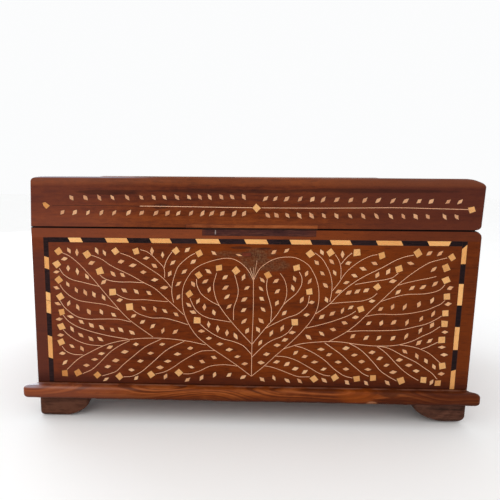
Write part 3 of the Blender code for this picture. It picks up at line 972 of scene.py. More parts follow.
def on_sheet(sheet, across, up, height):
    """The point at (across, up) millimetres on the sheet, height metres out from it."""
    flat = np.multiply.outer(across * MM, sheet.right) + np.multiply.outer(up * MM, sheet.up)
    return np.array(sheet.origin) + flat + np.multiply.outer(height, sheet.out)


# %% Slips: closed plates with a worn top edge


def draw_in(outlines, by):
    """Outlines moved inwards by so many millimetres.

    A corner between edges with outward directions p and q moves by -(p + q) / (1 + p.q).
    """
    edge = unit(np.roll(outlines, -1, axis=1) - outlines)
    after = np.stack((edge[..., 1], -edge[..., 0]), axis=-1)
    before = np.roll(after, 1, axis=1)
    return outlines - by * (before + after) / (1 + (before * after).sum(axis=2, keepdims=True))


SLIP_DEPTH = 1.0 * MM
PROUD = 0.07 * MM
GLUE_LINE = 0.2


def slips(sheet, outlines, proud=PROUD, depth=SLIP_DEPTH, wear=0.16, seed=0):
    """Points, faces and attributes of many slips. outlines has shape (slips, corners, 2).

    Each slip is five rings: its buried underside, its edge at the wood, two rings where the edge is
    worn round, and its flat top. wear is how far the rounding reaches inwards, in millimetres.
    """
    outlines = np.asarray(outlines, float)
    rng = np.random.default_rng(seed)
    number, corners = outlines.shape[:2]
    lift = proud * rng.uniform(0.6, 1.3, (number, 1))
    steps = ((0.0, -depth, 0, 1.0), (0.0, 0.35, 1, 1.0), (0.3, 0.8, 1, 0.9),
             (1.0, 1.0, 1, 0.35), (2.2, 1.0, 1, 0.0))
    rings, rims = [], []
    for inwards, high, above, rim in steps:
        flat = draw_in(outlines, wear * inwards)
        height = np.broadcast_to(high * lift if above else np.full((number, 1), high), (number, corners))
        rings.append(on_sheet(sheet, flat[..., 0], flat[..., 1], height))
        rims.append(np.full((number, corners), rim))
    points = np.stack(rings, axis=1)
    faces = []
    for slip in range(number):
        faces += ring_faces(len(steps), corners, slip * len(steps) * corners)
    middle = outlines.mean(axis=1, keepdims=True)
    spread = outlines - middle
    far = np.take_along_axis(spread, np.argmax((spread ** 2).sum(axis=2), axis=1)[:, None, None], 1)
    axis = unit(far)
    along = (spread * axis).sum(axis=2) * MM
    across = (spread[..., 0] * axis[..., 1] - spread[..., 1] * axis[..., 0]) * MM
    own = np.broadcast_to(rng.random((number, 1)), (number, corners))
    grain = np.repeat(np.stack((along, across, own), axis=-1)[:, None], len(steps), axis=1)
    tone = np.broadcast_to(rng.random((number, 1, 1)), points.shape[:3])
    attributes = {"tone": tone.ravel(), "rim": np.stack(rims, axis=1).ravel(), "grain": grain.reshape(-1, 3)}
    return points, faces, attributes


def let_in(name, sheet, outlines, material, slot, stands_for=(), seed=0, bed=True, **cut):
    """Slips of one kind as one piece, in a bed of old glue that shows as a thin dark line."""
    points, faces, attributes = slips(sheet, outlines, seed=seed, **cut)
    make_piece(name, points, faces, material, stands_for, attributes)
    if bed:
        wider = draw_in(np.asarray(outlines, float), -GLUE_LINE)
        points, faces, attributes = slips(sheet, wider, proud=0.02 * MM, depth=0.8 * MM, wear=0.02, seed=seed)
        make_piece(name + "_bed", points, faces, glue, (), attributes)
    return len(outlines)


print("sheets:", [sheet.out for sheet in (FRONT, LEFT, RIGHT, TOP)])

# %% [markdown]
# ## The tile border
# The border's tiles were sawn off a stick at a slant, so each is a parallelogram, and no two are
# quite alike. Their corners are read from the CAD tiles, which the finer ones stand for.

# %% Ebony and bone tiles


def tile_outline(node):
    """The four corners of a CAD tile in millimetres, counter-clockwise from the lowest left."""
    count = len(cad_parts[node].data.vertices)
    points = np.empty(count * 3, np.float32)
    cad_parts[node].data.vertices.foreach_get("co", points)
    flat = np.unique(np.round(points.reshape(-1, 3)[:, (0, 2)] / MM, 3), axis=0)
    spread = flat - flat.mean(axis=0)
    return flat[np.argsort(np.arctan2(spread[:, 1], spread[:, 0]))]


def tile_nodes(row, turn):
    """The names of a row's tiles: turn 0 for ebony and 1 for bone.

    Ebony comes first and bone takes turns with it, but the left row has two bone tiles together.
    """
    names = sorted(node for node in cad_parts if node.startswith(row + "_tile_"))
    split = 4 if row == "left" else len(names)
    return [name for place, name in enumerate(names) if (place + (place >= split)) % 2 == turn]


for row in ("top", "left", "right"):
    for turn, finish, slot in ((0, ebony, "ebony"), (1, tile_bone, "bone")):
        nodes = tile_nodes(row, turn)
        kind = ("ebony", "bone")[turn]
        corners = np.array([tile_outline(node) for node in nodes])
        made = let_in(f"{row}_border_{kind}", FRONT_FROM_GROUND, corners, finish, slot, nodes, seed=30 + turn,
                      depth=1.2 * MM, wear=0.12)
        print(f"{row} row, {kind} tiles: {made}")

# %% [markdown]
# ## The lock's repair
# Someone took the lock off long ago. A dark strip fills its place in the body's upper edge and a
# paler one in the lid's lower edge, a nail holds the dark one, and a plug closes the keyhole. Strips
# and plug were whittled by hand, so their long edges aren't quite straight.

# %% Strips, nail and plug


def whittled(node, steps, uneven, seed):
    """A box-shaped node's outline in millimetres, with its long edges cut a little unevenly."""
    low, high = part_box(node)
    rng = np.random.default_rng(seed)
    x = np.linspace(low.x, high.x, steps) / MM
    lower = low.z / MM + uneven * rng.random(steps)
    upper = high.z / MM - uneven * rng.random(steps)
    return np.array([np.column_stack((np.concatenate((x, x[::-1])), np.concatenate((lower, upper[::-1]))))])


for node, finish, slot, steps, uneven, depth in (
        ("body_lock_strip", dark_strip_wood, "dark_repair", 16, 0.25, 6.0),
        ("lid_lock_strip", pale_strip_wood, "pale_repair", 18, 0.2, 6.0),
        ("keyhole_plug", plug_wood, "plug_wood", 6, 0.3, 4.0),
        ("strip_nail", steel, "nail", 3, 0.05, 0.8)):
    shape = whittled(node, steps, uneven, len(node))
    proud = PROUD * (2 if node == "strip_nail" else 1)
    let_in(node + "_fitted", FRONT_FROM_GROUND, shape, finish, slot, (node,), proud=proud,
           depth=depth * MM, wear=0.1)
print("lock repair: 4 pieces")

# %% [markdown]
# ## Stems
# The stems are strips of pale wire or split bone pressed on edge into sawn grooves. Each is drawn by a few
# listed points, from its tip down to the stem that it joins. A smooth line runs through them, and a
# flat-topped profile is carried along it.

# %% A smooth line through chosen points, and a strip along it

STEM_SPACING = 1.3
STEM_WIDTH = 0.42


def smooth_line(points):
    """Points along a curve through the given ones.

    Between two points it is the cubic whose slope at each is the slope between that point's two
    neighbours, with distance along the chords as its parameter.
    """
    points = np.array(points, float)
    reached = walk(points)
    slopes = np.gradient(points, reached, axis=0)
    where = np.linspace(0, reached[-1], max(3, round(reached[-1] / STEM_SPACING)))
    before = np.clip(np.searchsorted(reached, where, side="right") - 1, 0, len(points) - 2)
    length = (reached[before + 1] - reached[before])[:, None]
    t = (where[:, None] - reached[before][:, None]) / length
    start = (1 + 2 * t) * (1 - t) ** 2 * points[before] + t * (1 - t) ** 2 * length * slopes[before]
    end = t * t * (3 - 2 * t) * points[before + 1] - t * t * (1 - t) * length * slopes[before + 1]
    return start + end


STRIP_PROFILE = ((-0.5, -0.7, 1.0), (0.5, -0.7, 1.0), (0.5, 0.02, 1.0),
                 (0.3, 0.055, 0.2), (-0.3, 0.055, 0.2), (-0.5, 0.02, 1.0))


def strip_rings(sheet, line, width, lift=1.0):
    """Rings of a strip along a line: the profile's first number is a share of the width, across the
    line to its left, and the second is a height in millimetres. The third is how stained it is."""
    ahead = unit(np.gradient(line, axis=0))
    left = np.column_stack((-ahead[:, 1], ahead[:, 0]))
    profile = np.array(STRIP_PROFILE)
    flat = line[:, None, :] + left[:, None, :] * (profile[:, 0] * width)[None, :, None]
    height = np.where(profile[:, 1] > 0, profile[:, 1] * lift, profile[:, 1]) * MM
    return on_sheet(sheet, flat[..., 0], flat[..., 1], np.broadcast_to(height, flat.shape[:2]))


def lay_stems(name, sheet, stems, width=STEM_WIDTH, seed=0):
    """All the stems of one area as one piece, with a dark line under them along each groove, of old glue and
    painted shade of the groove.
    """
    rng = np.random.default_rng(seed)
    # The groove piece, in glue's finish and wider than each stem, is old glue and painted shade along the
    # groove's edges.
    for label, extra, lift, material, slot in (
            (name, 0.0, 1.0, wire_bone, "wire"), (name + "_groove", 0.2, 0.25, glue, "filler")):
        points, faces, shades, rims, grains = [], [], [], [], []
        for number, stem in enumerate(stems):
            line = smooth_line(stem)
            thickness = width * (1 + 0.1 * wobble(np.arange(len(line)) * STEM_SPACING, seed + number, 30))
            rings = strip_rings(sheet, line, thickness.mean() + extra, lift)
            count = rings.shape[0] * rings.shape[1]
            faces += ring_faces(*rings.shape[:2], sum(len(part) for part in points))
            points.append(rings.reshape(-1, 3))
            shades.append(np.full(count, rng.random()))
            rims.append(np.tile(np.array(STRIP_PROFILE)[:, 2], rings.shape[0]))
            along = np.repeat(np.arange(rings.shape[0]) * STEM_SPACING * MM, rings.shape[1])
            across = np.tile(np.array(STRIP_PROFILE)[:, 0] * width * MM, rings.shape[0])
            grains.append(np.column_stack((along, across, np.full(count, rng.random()))))
        joined = [np.concatenate(values) for values in (shades, rims, grains)]
        attributes = dict(zip(("tone", "rim", "grain"), joined))
        make_piece(label, np.concatenate(points), faces, material, (), attributes)
    return len(stems)


# %% Stems of the heart in the middle

HEART = (
    ((0.8, 116.7), (-2.5, 123.3), (-6.7, 128.5), (-10.8, 131.7), (-16.7, 134.2), (-21.7, 134.5),
     (-28.3, 133.3), (-36.7, 130.7), (-43.3, 127.5), (-48.3, 123.3), (-51.7, 118.3), (-55, 110.8),
     (-55.8, 101), (-55, 92.5), (-50, 79.2), (-45.8, 72.5), (-35, 62.5), (-20, 52.1), (-11.7, 46.3),
     (0.6, 36.9)),
    ((0.7, 116.7), (3.3, 122.5), (5.8, 126.7), (10, 130.4), (15.8, 133.8), (21.7, 135.5), (26.7, 136),
     (32.5, 135.7), (39.2, 132.9), (44.2, 129.2), (47.5, 124.2), (50, 119.2), (52.1, 112.5), (53, 104.5),
     (52.5, 96.7), (50.4, 90), (46.7, 83.3), (41.7, 76.7), (34.2, 68.3), (19.2, 53.8), (11.7, 46.3),
     (1.2, 36.9)),
    ((0.8, 117), (1.2, 90), (0.8, 65), (1, 36.7)),
    ((-14.2, 121.3), (-12.5, 115.8), (-11.1, 108.3), (-12, 101.7), (-14.2, 95), (-14.5, 84.2)),
    ((-28.5, 122.5), (-30.8, 112.5), (-30, 106), (-28.3, 100.4), (-21.7, 89.6), (-15, 81.3), (0.8, 63.8)),
    ((-44.4, 117.5), (-44.2, 113.3), (-40.8, 105.8), (-35, 100.8), (-25.8, 95.7)),
    ((-49.6, 101.7), (-47.5, 96.7), (-44.2, 91.3), (-40, 87.9), (-34.2, 85.4), (-26.7, 84), (-16.7, 82.4)),
    ((-41.3, 80.4), (-36.7, 76.3), (-30, 71.7), (-22.5, 68.2), (-15, 66.3), (-6.7, 62.9), (0.4, 55.8)),
    ((11.7, 118.3), (11.3, 113.3), (12.1, 106.7), (13.8, 101), (15.7, 93.3), (15.3, 82.9)),
    ((21.8, 122.9), (25, 118.3), (27.1, 111.7), (27.2, 104.2), (25.4, 98)),
    ((36.7, 124.2), (38.8, 120), (38.9, 114.2), (36.7, 109.2), (25, 97.1), (20.8, 90), (10.8, 77.1),
     (1, 64.2)),
    ((45.4, 105), (45, 101), (44.2, 97.5), (40.8, 93.3), (36.7, 90), (28.3, 86.7), (20, 82.5),
     (11.3, 77.6)),
    ((32.9, 79.6), (30, 75), (24.2, 70.8), (17.5, 67.9), (10.8, 63.3), (5.8, 58.3), (1.3, 53.3)),
)
print("heart stems:", lay_stems("heart_stems", FRONT, HEART, seed=40))

# %% Broken strands in the filler over the heart

STRANDS = (
    ((0.8, 118), (1.9, 124), (2.8, 129.5), (3.2, 133)),
    ((0.7, 118), (-0.6, 122.5), (-2.2, 127)),
    ((0.8, 118.5), (0.5, 123), (0.9, 127.5)),
)
print("strands:", lay_stems("strands", FRONT, STRANDS, width=0.26, seed=43))

# %% Stems to the left of the heart

LEFT_STEMS = (
    ((-151.7, 137.5), (-146.7, 135.3), (-139.4, 129.6), (-130, 119.4), (-113.3, 99.2), (-100.8, 85),
     (-79.6, 68.8)),
    ((-154.4, 124.8), (-151.3, 120), (-145.8, 116.3), (-135.8, 113.6), (-122.5, 110.4)),
    ((-154.5, 111.5), (-151.7, 107.1), (-146.7, 102.4), (-140.4, 98.9), (-130, 97), (-117.5, 95.2),
     (-106.6, 91.3)),
    ((-154.8, 98.3), (-152.5, 94.2), (-146.7, 88.5), (-140.8, 84.8), (-134.2, 83.2), (-121.7, 83.3),
     (-106.7, 83.2), (-97.4, 81.2)),
    ((-152.9, 86.3), (-149.2, 81.7), (-142.5, 77.1), (-134.2, 73.9), (-115.8, 69.2), (-100, 66.7)),
    ((-153.3, 73.8), (-149.2, 69.6), (-142.5, 65), (-135, 62.1), (-120.8, 60.4)),
    ((-154.6, 59.6), (-151.7, 55.8), (-146.7, 53.3), (-137.4, 52.5)),
    ((-151.3, 39.6), (-141.7, 48.8), (-130, 55.8), (-116.7, 62.1), (-99.2, 66.3), (-78.3, 67.9),
     (-53.3, 66.1), (-36.7, 62.9)),
    ((-138.3, 36.3), (-130, 40.4), (-125, 45), (-113.3, 56.7), (-107.5, 60.8), (-98.8, 65.4)),
    ((-122.1, 34.6), (-116.7, 36.3), (-110, 39.2), (-105, 44.2), (-97.5, 50.8), (-86, 60.4), (-72.9, 67.2)),
    ((-104.2, 34.2), (-98.3, 34.6), (-90, 38.5), (-82.5, 45), (-66.7, 59.2), (-54.2, 65.6)),
    ((-77.9, 37.1), (-70.8, 39), (-64.2, 42.5), (-57.5, 47.5), (-49.2, 52.9), (-40.8, 57.3), (-28.9, 58.2)),
    ((-55, 37.7), (-49.2, 37.9), (-41.7, 40.4), (-33.3, 44.6), (-25.8, 46), (-15, 45.8), (-10.8, 45.2)),
    ((-128.3, 135.8), (-120.8, 132.9), (-113.3, 127.9), (-95.8, 119.2), (-86.7, 114), (-78.3, 109.6),
     (-70, 102.3), (-61.9, 94.8), (-54.6, 87.9)),
    ((-121.7, 119.6), (-118.3, 116.9), (-113.3, 115.2), (-107.5, 114.4), (-96.7, 114.3), (-86.7, 113.8)),
    ((-105, 137.7), (-97.5, 135), (-87, 128.7), (-80, 124.2), (-73.3, 119.6), (-69.2, 115.8),
     (-64.6, 110.2)),
    ((-89, 140.6), (-84.2, 139.2), (-80, 136.3), (-75.8, 132.1), (-70.4, 125.8), (-69.8, 118.3)),
    ((-63.8, 139.2), (-66.7, 135), (-69, 130.4), (-70.2, 125.8)),
    ((-45.8, 138.2), (-50, 135.8), (-55, 131.7), (-59.2, 127.1), (-61.7, 120.8), (-63.8, 112.5),
     (-64.2, 106), (-62.8, 97.9)),
    ((-108.8, 104.2), (-105, 102.1), (-99.6, 100.2), (-86, 99.9), (-73.3, 98.9), (-67.1, 98.6)),
    ((-95.8, 91.3), (-90.8, 88), (-86, 86.3), (-80.8, 85), (-70, 84.8), (-61.7, 82.9), (-51.2, 79.6)),
)
print("left stems:", lay_stems("left_stems", FRONT, LEFT_STEMS, seed=41))

# %% Stems to the right of the heart

RIGHT_STEMS = (
    ((48.3, 139.6), (53.3, 135.8), (57.5, 130), (60.8, 123.3), (62.5, 116.7), (62.9, 109.2), (61.7, 100.4)),
    ((64.2, 138.3), (67.5, 133.3), (69, 128.3), (69.4, 119.2)),
    ((77.1, 139.8), (72.5, 135.4), (69, 130.8)),
    ((96.8, 138.8), (92.7, 137.9), (86.5, 135.1), (78.3, 129.2), (73.3, 124.2), (67.5, 115), (63.3, 109.2)),
    ((124.8, 138.6), (119.3, 137.5), (113.5, 135.4), (101, 128.3), (86.4, 120.5), (74.2, 111.7),
     (68.3, 106), (61.7, 98.5), (57.5, 95), (50.9, 90.3)),
    ((113.9, 124.2), (110.2, 120.8), (104.3, 118.9), (98.5, 117.9), (88, 116), (80.8, 114.6)),
    ((98.5, 107.7), (95.2, 104.6), (91.3, 102.6), (86.5, 101.3), (78.3, 100.5), (70, 99.7), (62, 98.8)),
    ((82.5, 92.9), (78.3, 90), (70, 86.3), (61.7, 83.3), (53.3, 80.8), (43.8, 78.4)),
    ((150.6, 136.7), (144.3, 135), (137.7, 132.9), (131, 128.8), (119.3, 119.6), (106.8, 106.7), (95, 94.2),
     (83.3, 81.7), (77.5, 76.7), (70, 71.7), (62.5, 67.5)),
    ((143.5, 121.9), (137.7, 120.3), (130.2, 118.8), (121.8, 116.7), (113.5, 114.2)),
    ((150.8, 115.4), (147.7, 111.7), (143.5, 109.6), (137.7, 108.2), (119.3, 106.7), (112.7, 105),
     (101.4, 101)),
    ((151.8, 102.7), (148.8, 99.8), (144.3, 97.5), (140, 95.4), (129.3, 92.5), (115.2, 90.7), (98.5, 90.4),
     (90.6, 88.7)),
    ((150.2, 90), (146, 87.1), (139.3, 83.5), (130.2, 80.8), (121, 78.5), (102.7, 77.1), (86, 76.7),
     (76, 75.8)),
    ((149.8, 81.3), (143.5, 76.7), (136, 72.9), (130.2, 69.6), (119.3, 65.8), (100.2, 64.3), (86.5, 65.3),
     (70, 67.3), (53.3, 66.8), (36.7, 64.2), (30.8, 62.1), (26.4, 60.6)),
    ((148.9, 68.3), (144.3, 65.8), (140.2, 63.8), (136.2, 62.3)),
    ((152.3, 50.8), (148.5, 54.2), (143.5, 58.3), (136, 62.1), (127.7, 64.4), (119.3, 65.6)),
    ((150.8, 37.1), (146.8, 41.7), (141, 45.8), (132.7, 51.3), (123.5, 55.8), (107.7, 63.3), (101, 64.3)),
    ((136, 35.8), (129.3, 39.6), (123.5, 43.8), (117.7, 49.2), (106.8, 60), (101, 64)),
    ((118.5, 35), (111, 39.2), (105.2, 43.3), (99.3, 50), (86.5, 62), (78.8, 66.2)),
    ((96, 38.5), (91.8, 40.3), (87, 44), (80.8, 49.2), (73.3, 56.3), (65.8, 61.7), (59.2, 66.3)),
    ((82.9, 36.8), (76.7, 38.3), (70, 42.5), (57.5, 53.3), (50, 57.9), (41.7, 61.7), (35.4, 63.5)),
    ((65, 38.3), (61.7, 38.5), (55.8, 40.4), (49.2, 44.2), (34.2, 52.1), (28.3, 53.8), (20, 54.4)),
    ((48.3, 37.1), (38.3, 37.3), (31.7, 39.6), (23.3, 42.9), (15.8, 45.2), (11.3, 45.9)),
)
print("right stems:", lay_stems("right_stems", FRONT, RIGHT_STEMS, seed=42))

# %% [markdown]
# ## Flowers
# Each stem ends in a square of bone about five millimetres wide, set at any turn. The list gives
# each flower's place and its turn in degrees.

# %% Square flowers

FLOWER_SIZE = 4.95
FLOWER_UNEVEN = 0.35


def squares(places, size, uneven, seed):
    """Four-cornered outlines. places are (across, up, turn in degrees), and each corner is moved by
    up to uneven millimetres."""
    rng = np.random.default_rng(seed)
    places = np.array(places, float)
    turns = np.radians(places[:, 2:3] + np.array((225, 315, 45, 135)))
    corners = np.stack((np.cos(turns), np.sin(turns)), axis=-1) * size / math.sqrt(2)
    corners = corners * rng.uniform(0.94, 1.08, (len(places), 1, 1))
    return places[:, None, :2] + corners + rng.uniform(-uneven, uneven, corners.shape)


FLOWERS = (
    (-154.4, 138.5, 35), (-156.2, 128.2, 35), (-155.1, 115.2, 40), (-154.4, 101.6, 35), (-153.9, 88.8, 15),
    (-154.5, 76.5, 20), (-155.2, 63.2, 20),
    (-107.7, 34.3, 40), (-81.4, 36.8, 40), (-58.5, 38.8, 40), (-131.4, 136.4, 35), (-108.8, 139.3, 35),
    (-92.5, 139.3, 20), (-60.7, 139.8, 40), (-42.3, 137.9, 30), (-121.9, 122.9, 20), (-111.9, 105.8, 5),
    (-98.3, 93.8, 5), (-26.7, 126.7, 5), (-13.1, 124.6, 40), (-42.7, 120.7, 35), (-50, 105, 35),
    (-43.8, 83.3, 0), (34.6, 127.3, 15), (45.4, 108.3, 10), (34.6, 83.1, 5),
    (44.8, 138.8, 40), (60.4, 139.8, 35), (80.8, 140.2, 5), (100.3, 137.9, 20), (127.9, 140.2, 35),
    (154.5, 137.1, 35), (150.4, 128.9, 25), (114.2, 127.8, 20), (151.2, 119, 25), (98.3, 112.7, 40),
    (153, 105.8, 10), (152.9, 92.3, 5), (86.5, 94.8, 20), (152.9, 83.5, 0), (151.8, 70.2, 5),
    (154.2, 48.6, 15), (151.6, 33.8, 0), (140, 36.3, 0), (122.3, 35.4, 25), (99.6, 37.1, 5),
    (86.4, 36.3, 10), (68.6, 36.9, 35), (51.8, 35.4, 40),
)
STAINED_FLOWERS = ((-153.2, 36.3, 5), (-142.3, 37.3, 30), (-126.1, 35.3, 40), (12.1, 121.4, 30))
flower_shapes = squares(FLOWERS, FLOWER_SIZE, FLOWER_UNEVEN, 50)
stained_shapes = squares(STAINED_FLOWERS, FLOWER_SIZE, FLOWER_UNEVEN, 52)
print("flowers:", let_in("flowers", FRONT, flower_shapes, flower_bone, "bone", seed=51))
print("stained flowers:", let_in("stained_flowers", FRONT, stained_shapes, orange_bone, "bone", seed=53))

# %% [markdown]
# ## Leaves
# The leaves are small lozenges that fill the ground between the stems. They follow no stem exactly:
# the carver turned each to suit its gap, and nearly all lean one of eight ways. So they are listed
# by the way they lean, as places alone. Size, turn and corners vary a little from leaf to leaf.

# %% Lozenge leaves

LEAF_LENGTH = 6.1
LEAF_WIDTH = 3.1
LEAF_UNEVEN = 0.16
LOZENGE = ((1, 0), (0.5, 0.54), (0, 1), (-0.5, 0.54), (-1, 0), (-0.5, -0.54), (0, -1), (0.5, -0.54))


def lozenges(places, turn, length, width, uneven, seed):
    """Eight-cornered leaves: four corners of a lozenge, with its sides hardly full between them."""
    rng = np.random.default_rng(seed)
    places = np.array(places, float)
    size = np.array((length, width)) / 2 * rng.uniform(0.88, 1.1, (len(places), 1, 2))
    flat = np.array(LOZENGE) * size + rng.uniform(-uneven, uneven, (len(places), 8, 2))
    turns = np.radians(turn + rng.uniform(-6, 6, (len(places), 1)))
    across = flat[..., 0] * np.cos(turns) - flat[..., 1] * np.sin(turns)
    up = flat[..., 0] * np.sin(turns) + flat[..., 1] * np.cos(turns)
    return places[:, None, :] + np.stack((across, up), axis=-1)


LEVEL = 5
SLIGHT_RISE = 18
RISE = 40
STEEP_RISE = 65
UPRIGHT = 90
STEEP_FALL = -65
FALL = -40
SLIGHT_FALL = -18

LEAVES = {
    LEVEL: (
        (-156.8, 121.9), (-86.9, 122.5), (-78, 116.3), (-70.2, 110.1), (-84.3, 133.9), (-156, 82.7),
        (-155.4, 69.2), (-154.6, 53.5), (-122.3, 53.9), (-128.1, 48.8), (-135, 43.6), (-93.6, 62.3),
        (-102.9, 55.7), (-110.6, 48.2), (-117.3, 42.8), (-72.1, 62.7), (-81.7, 55), (-90.1, 48.1),
        (-97.7, 40.3), (-49.3, 59.8), (-59.6, 54.6), (-67.7, 48.3), (-74, 42.9), (-40.3, 74.4),
        (-34.2, 68.5), (-25.2, 63.8), (-17.5, 59.2), (-10.7, 53.3), (-4.8, 47.3), (47.3, 99.7),
        (43.8, 89.4), (32.9, 74.4), (21.1, 63.6), (8.6, 48.6), (94.8, 101.4), (154.5, 99.8), (82.7, 87.9),
        (153.9, 76.8), (152.5, 64.3), (154.8, 57.9), (153.9, 41.8), (119.6, 52.8), (127.4, 48.6),
        (133.8, 43.8), (97.5, 58.9), (115.3, 42.5), (83.5, 56.3), (89.6, 50.9), (95, 44.4), (56.5, 60.7),
        (70.8, 50.2), (77.3, 44.4), (51.9, 49.8)),
    SLIGHT_RISE: (
        (-150, 132.5), (-128.2, 129.5), (-104.6, 130.8), (-95.2, 127.9), (-106.4, 99.3), (-115.2, 59.6),
        (27.3, 68.2), (12.8, 55.8), (74.8, 131.8), (74, 116.1), (68.3, 108.8), (110.2, 117.7), (155, 112.8),
        (103.9, 53.9), (109.6, 48.2), (76.4, 61.9), (63.2, 56.4), (43.6, 54.4), (59.4, 43.9), (21.1, 49.4),
        (36.5, 43.9)),
    RISE: (
        (-118.9, 114), (-63.3, 130.4), (-51.7, 140.8), (-47.1, 131.4), (-54.2, 123.3), (-58.9, 113.3),
        (-95.2, 86.3), (-88.1, 81.4), (-79.8, 77.9), (-61.3, 73.6), (-152.7, 45.8), (-119, 31.7),
        (-93.8, 33.3), (-51.4, 32.7), (-17.3, 37.5), (-5.8, 35.8), (-37.5, 115.6), (-21.7, 119.2),
        (-21.3, 110.7), (-4.3, 110.7), (-20, 103.3), (-6.3, 101.2), (-18.2, 95.3), (-6.5, 92.5), (-6, 83.2),
        (18.6, 116.7), (19.9, 108.3), (26, 90.6), (16.3, 139.8), (26.1, 141), (76.3, 108), (83, 109.1),
        (89.8, 110), (136.7, 140.2), (144.9, 140.2), (141, 127.5), (142.9, 115.8), (133.8, 113.3),
        (125.3, 112.3), (114.8, 108.9), (102, 95), (78.5, 95.9), (64.2, 90.7), (56, 87.9), (93.5, 83.2),
        (113.1, 84.2), (81.4, 72.1), (92, 71), (102, 71), (113.3, 71), (134.1, 67.7), (142.5, 69.3),
        (36.3, 57.5), (29.6, 47.7), (44.2, 41.3)),
    STEEP_RISE: (
        (-65.8, 121.5), (-58.9, 102.6), (-147.7, 96), (-71.5, 74.3), (-69.6, 35.2), (-39.8, 34.6),
        (-29.3, 37.5), (-34.3, 108.9), (-43.1, 99.4), (-7.1, 119.2), (-3.3, 75.2), (42.5, 122.9),
        (45.2, 116.8), (39.5, 101.6), (19.9, 98.7), (24.8, 77.9), (16.1, 73.5), (7.5, 65.4), (97.7, 122.5),
        (106, 125.2), (141.8, 102.5), (131.8, 99.2), (120.8, 96.9), (111.3, 96.8), (72.1, 93.2),
        (103.3, 83.3), (123.5, 84.2), (134.5, 87.5), (143.5, 91.7), (123.7, 72.8), (134.5, 77.7),
        (143.3, 82.3), (146.7, 34.3)),
    UPRIGHT: (
        (-139.8, 137.8), (-147.2, 125), (-139.9, 122.3), (-79.8, 139.6), (-71.4, 136.5), (-38, 94.4),
        (-34.4, 80.2), (-27.1, 76.5), (-19.6, 73.2), (69.8, 138.5)),
    STEEP_FALL: (
        (-146.1, 139.3), (-132.3, 118.3), (-123.8, 139.3), (-117.8, 137.7), (-148, 111.8), (-141.2, 107.2),
        (-134, 105.2), (-127.1, 103.7), (-119.3, 101.3), (-140.5, 92.9), (-131.6, 89.3), (-121.3, 89.2),
        (-77.9, 92.3), (-145.8, 74.4), (-138.2, 57.9), (-47.1, 113.3), (-30.3, 90), (-12.5, 70.7),
        (33.2, 118.6), (32.1, 111.1), (5.4, 76.4), (53.8, 140), (64.4, 123.8), (59, 101.9), (133.3, 56.3),
        (140.8, 52.5), (147.5, 47.7), (19.4, 35.6)),
    FALL: (
        (-111.2, 120.8), (-103.5, 120), (-77.9, 127.7), (-30.8, 138.5), (-102.3, 107.3), (-92.7, 106.5),
        (-82.5, 105.5), (-111.5, 87.1), (-86.9, 92.7), (-69.8, 90.8), (-60.8, 88.1), (-137.9, 80.6),
        (-129.8, 77.8), (-121.4, 76.1), (-112.8, 74.4), (-105.8, 74.4), (-96.7, 72.3), (-138.8, 69.4),
        (-130.6, 66.5), (-122.9, 66.3), (-146.5, 60), (-35, 123.8), (-50.5, 96.1), (7.7, 117.3),
        (6.9, 110.2), (7.8, 101.9), (9, 93.3), (7.7, 83.8), (50, 131.8), (61.7, 132.7), (54.8, 123.3),
        (57.7, 113.5), (56.5, 73.9), (46, 70.8), (123.5, 60), (111.3, 33.3), (94.2, 32.7), (78.8, 32.9),
        (60.3, 34.3), (30.3, 33.5), (40.4, 33.3), (9.8, 34.2)),
    SLIGHT_FALL: (
        (-157.3, 108.8), (-156.7, 95.6), (-146.7, 84.8), (-29.8, 52.3), (-39.6, 48.6), (-48.5, 43.8),
        (-47.1, 90.2), (86.3, 127.3), (80, 121.7), (95, 131.8), (122.8, 132.1), (74.2, 83.2), (65.3, 77.5)),
}

leaf_shapes = np.concatenate([lozenges(places, turn, LEAF_LENGTH, LEAF_WIDTH, LEAF_UNEVEN, 60 + number)
                              for number, (turn, places) in enumerate(LEAVES.items())])
sliver = lozenges(((-11.1, 137.1),), -16, 5.6, 1.9, 0.1, 69)
print("sliver left of a lost leaf:", let_in("sliver", FRONT, sliver, leaf_bone, "bone", seed=62))
print("leaves on the front:", let_in("leaves", FRONT, leaf_shapes, leaf_bone, "bone", seed=61))

# %% [markdown]
# ## The lid's garland
# A wire runs along the lid's front with leaves above and below it, leaning towards a lozenge in the
# middle. The wire is lost from its left part, where only the dark groove is left, and the flower at
# that end is broken.

# %% Wire, leaves and flowers of the lid's front

LID_MIDDLE_X = 1.8
LID_LEAF_LENGTH = 5.8
LID_LEAF_WIDTH = 3.2
LID_FLOWER_SIZE = 4.6
lid_stems = (
    ((-89, 175), (-60, 174.9), (-30, 174.6), (-1.4, 174.4)),
    ((5.7, 174.4), (45, 174.5), (80, 174.9), (112, 175.3), (140, 174.8), (163.5, 174.4)),
)
UPPER_LEFT = (-142.6, -131.5, -120.7, -110.4, -98.9, -87.7, -78.1, -69.6, -59.9, -50.6, -42.1, -34.4, -25.6,
              -17.1, -8.2)
LOWER_LEFT = (-150.2, -140.4, -130, -119.2, -109.2, -97.9, -87.6, -76.4, -67.4, -58.8, -49, -40.1, -32.9,
              -24.6, -15.4, -7.7)
UPPER_RIGHT = (8.7, 16.2, 24.9, 35.1, 44.6, 52.9, 63.3, 73.9, 84.6, 94.8, 106, 115.7, 125.8, 134.9, 147.6,
               156.7)
LOWER_RIGHT = (10.6, 17.4, 25.8, 35, 44.4, 54, 63.5, 74, 84, 94.3, 105.1, 114.8, 124, 133.2, 146, 155.1)


def garland(across, first_up, last_up, turn, seed):
    """A row of leaves whose height changes evenly from the first to the last."""
    across = np.array(across)
    share = (across - across[0]) / (across[-1] - across[0])
    places = np.column_stack((across, first_up + (last_up - first_up) * share))
    return lozenges(places, turn, LID_LEAF_LENGTH, LID_LEAF_WIDTH, LEAF_UNEVEN, seed)


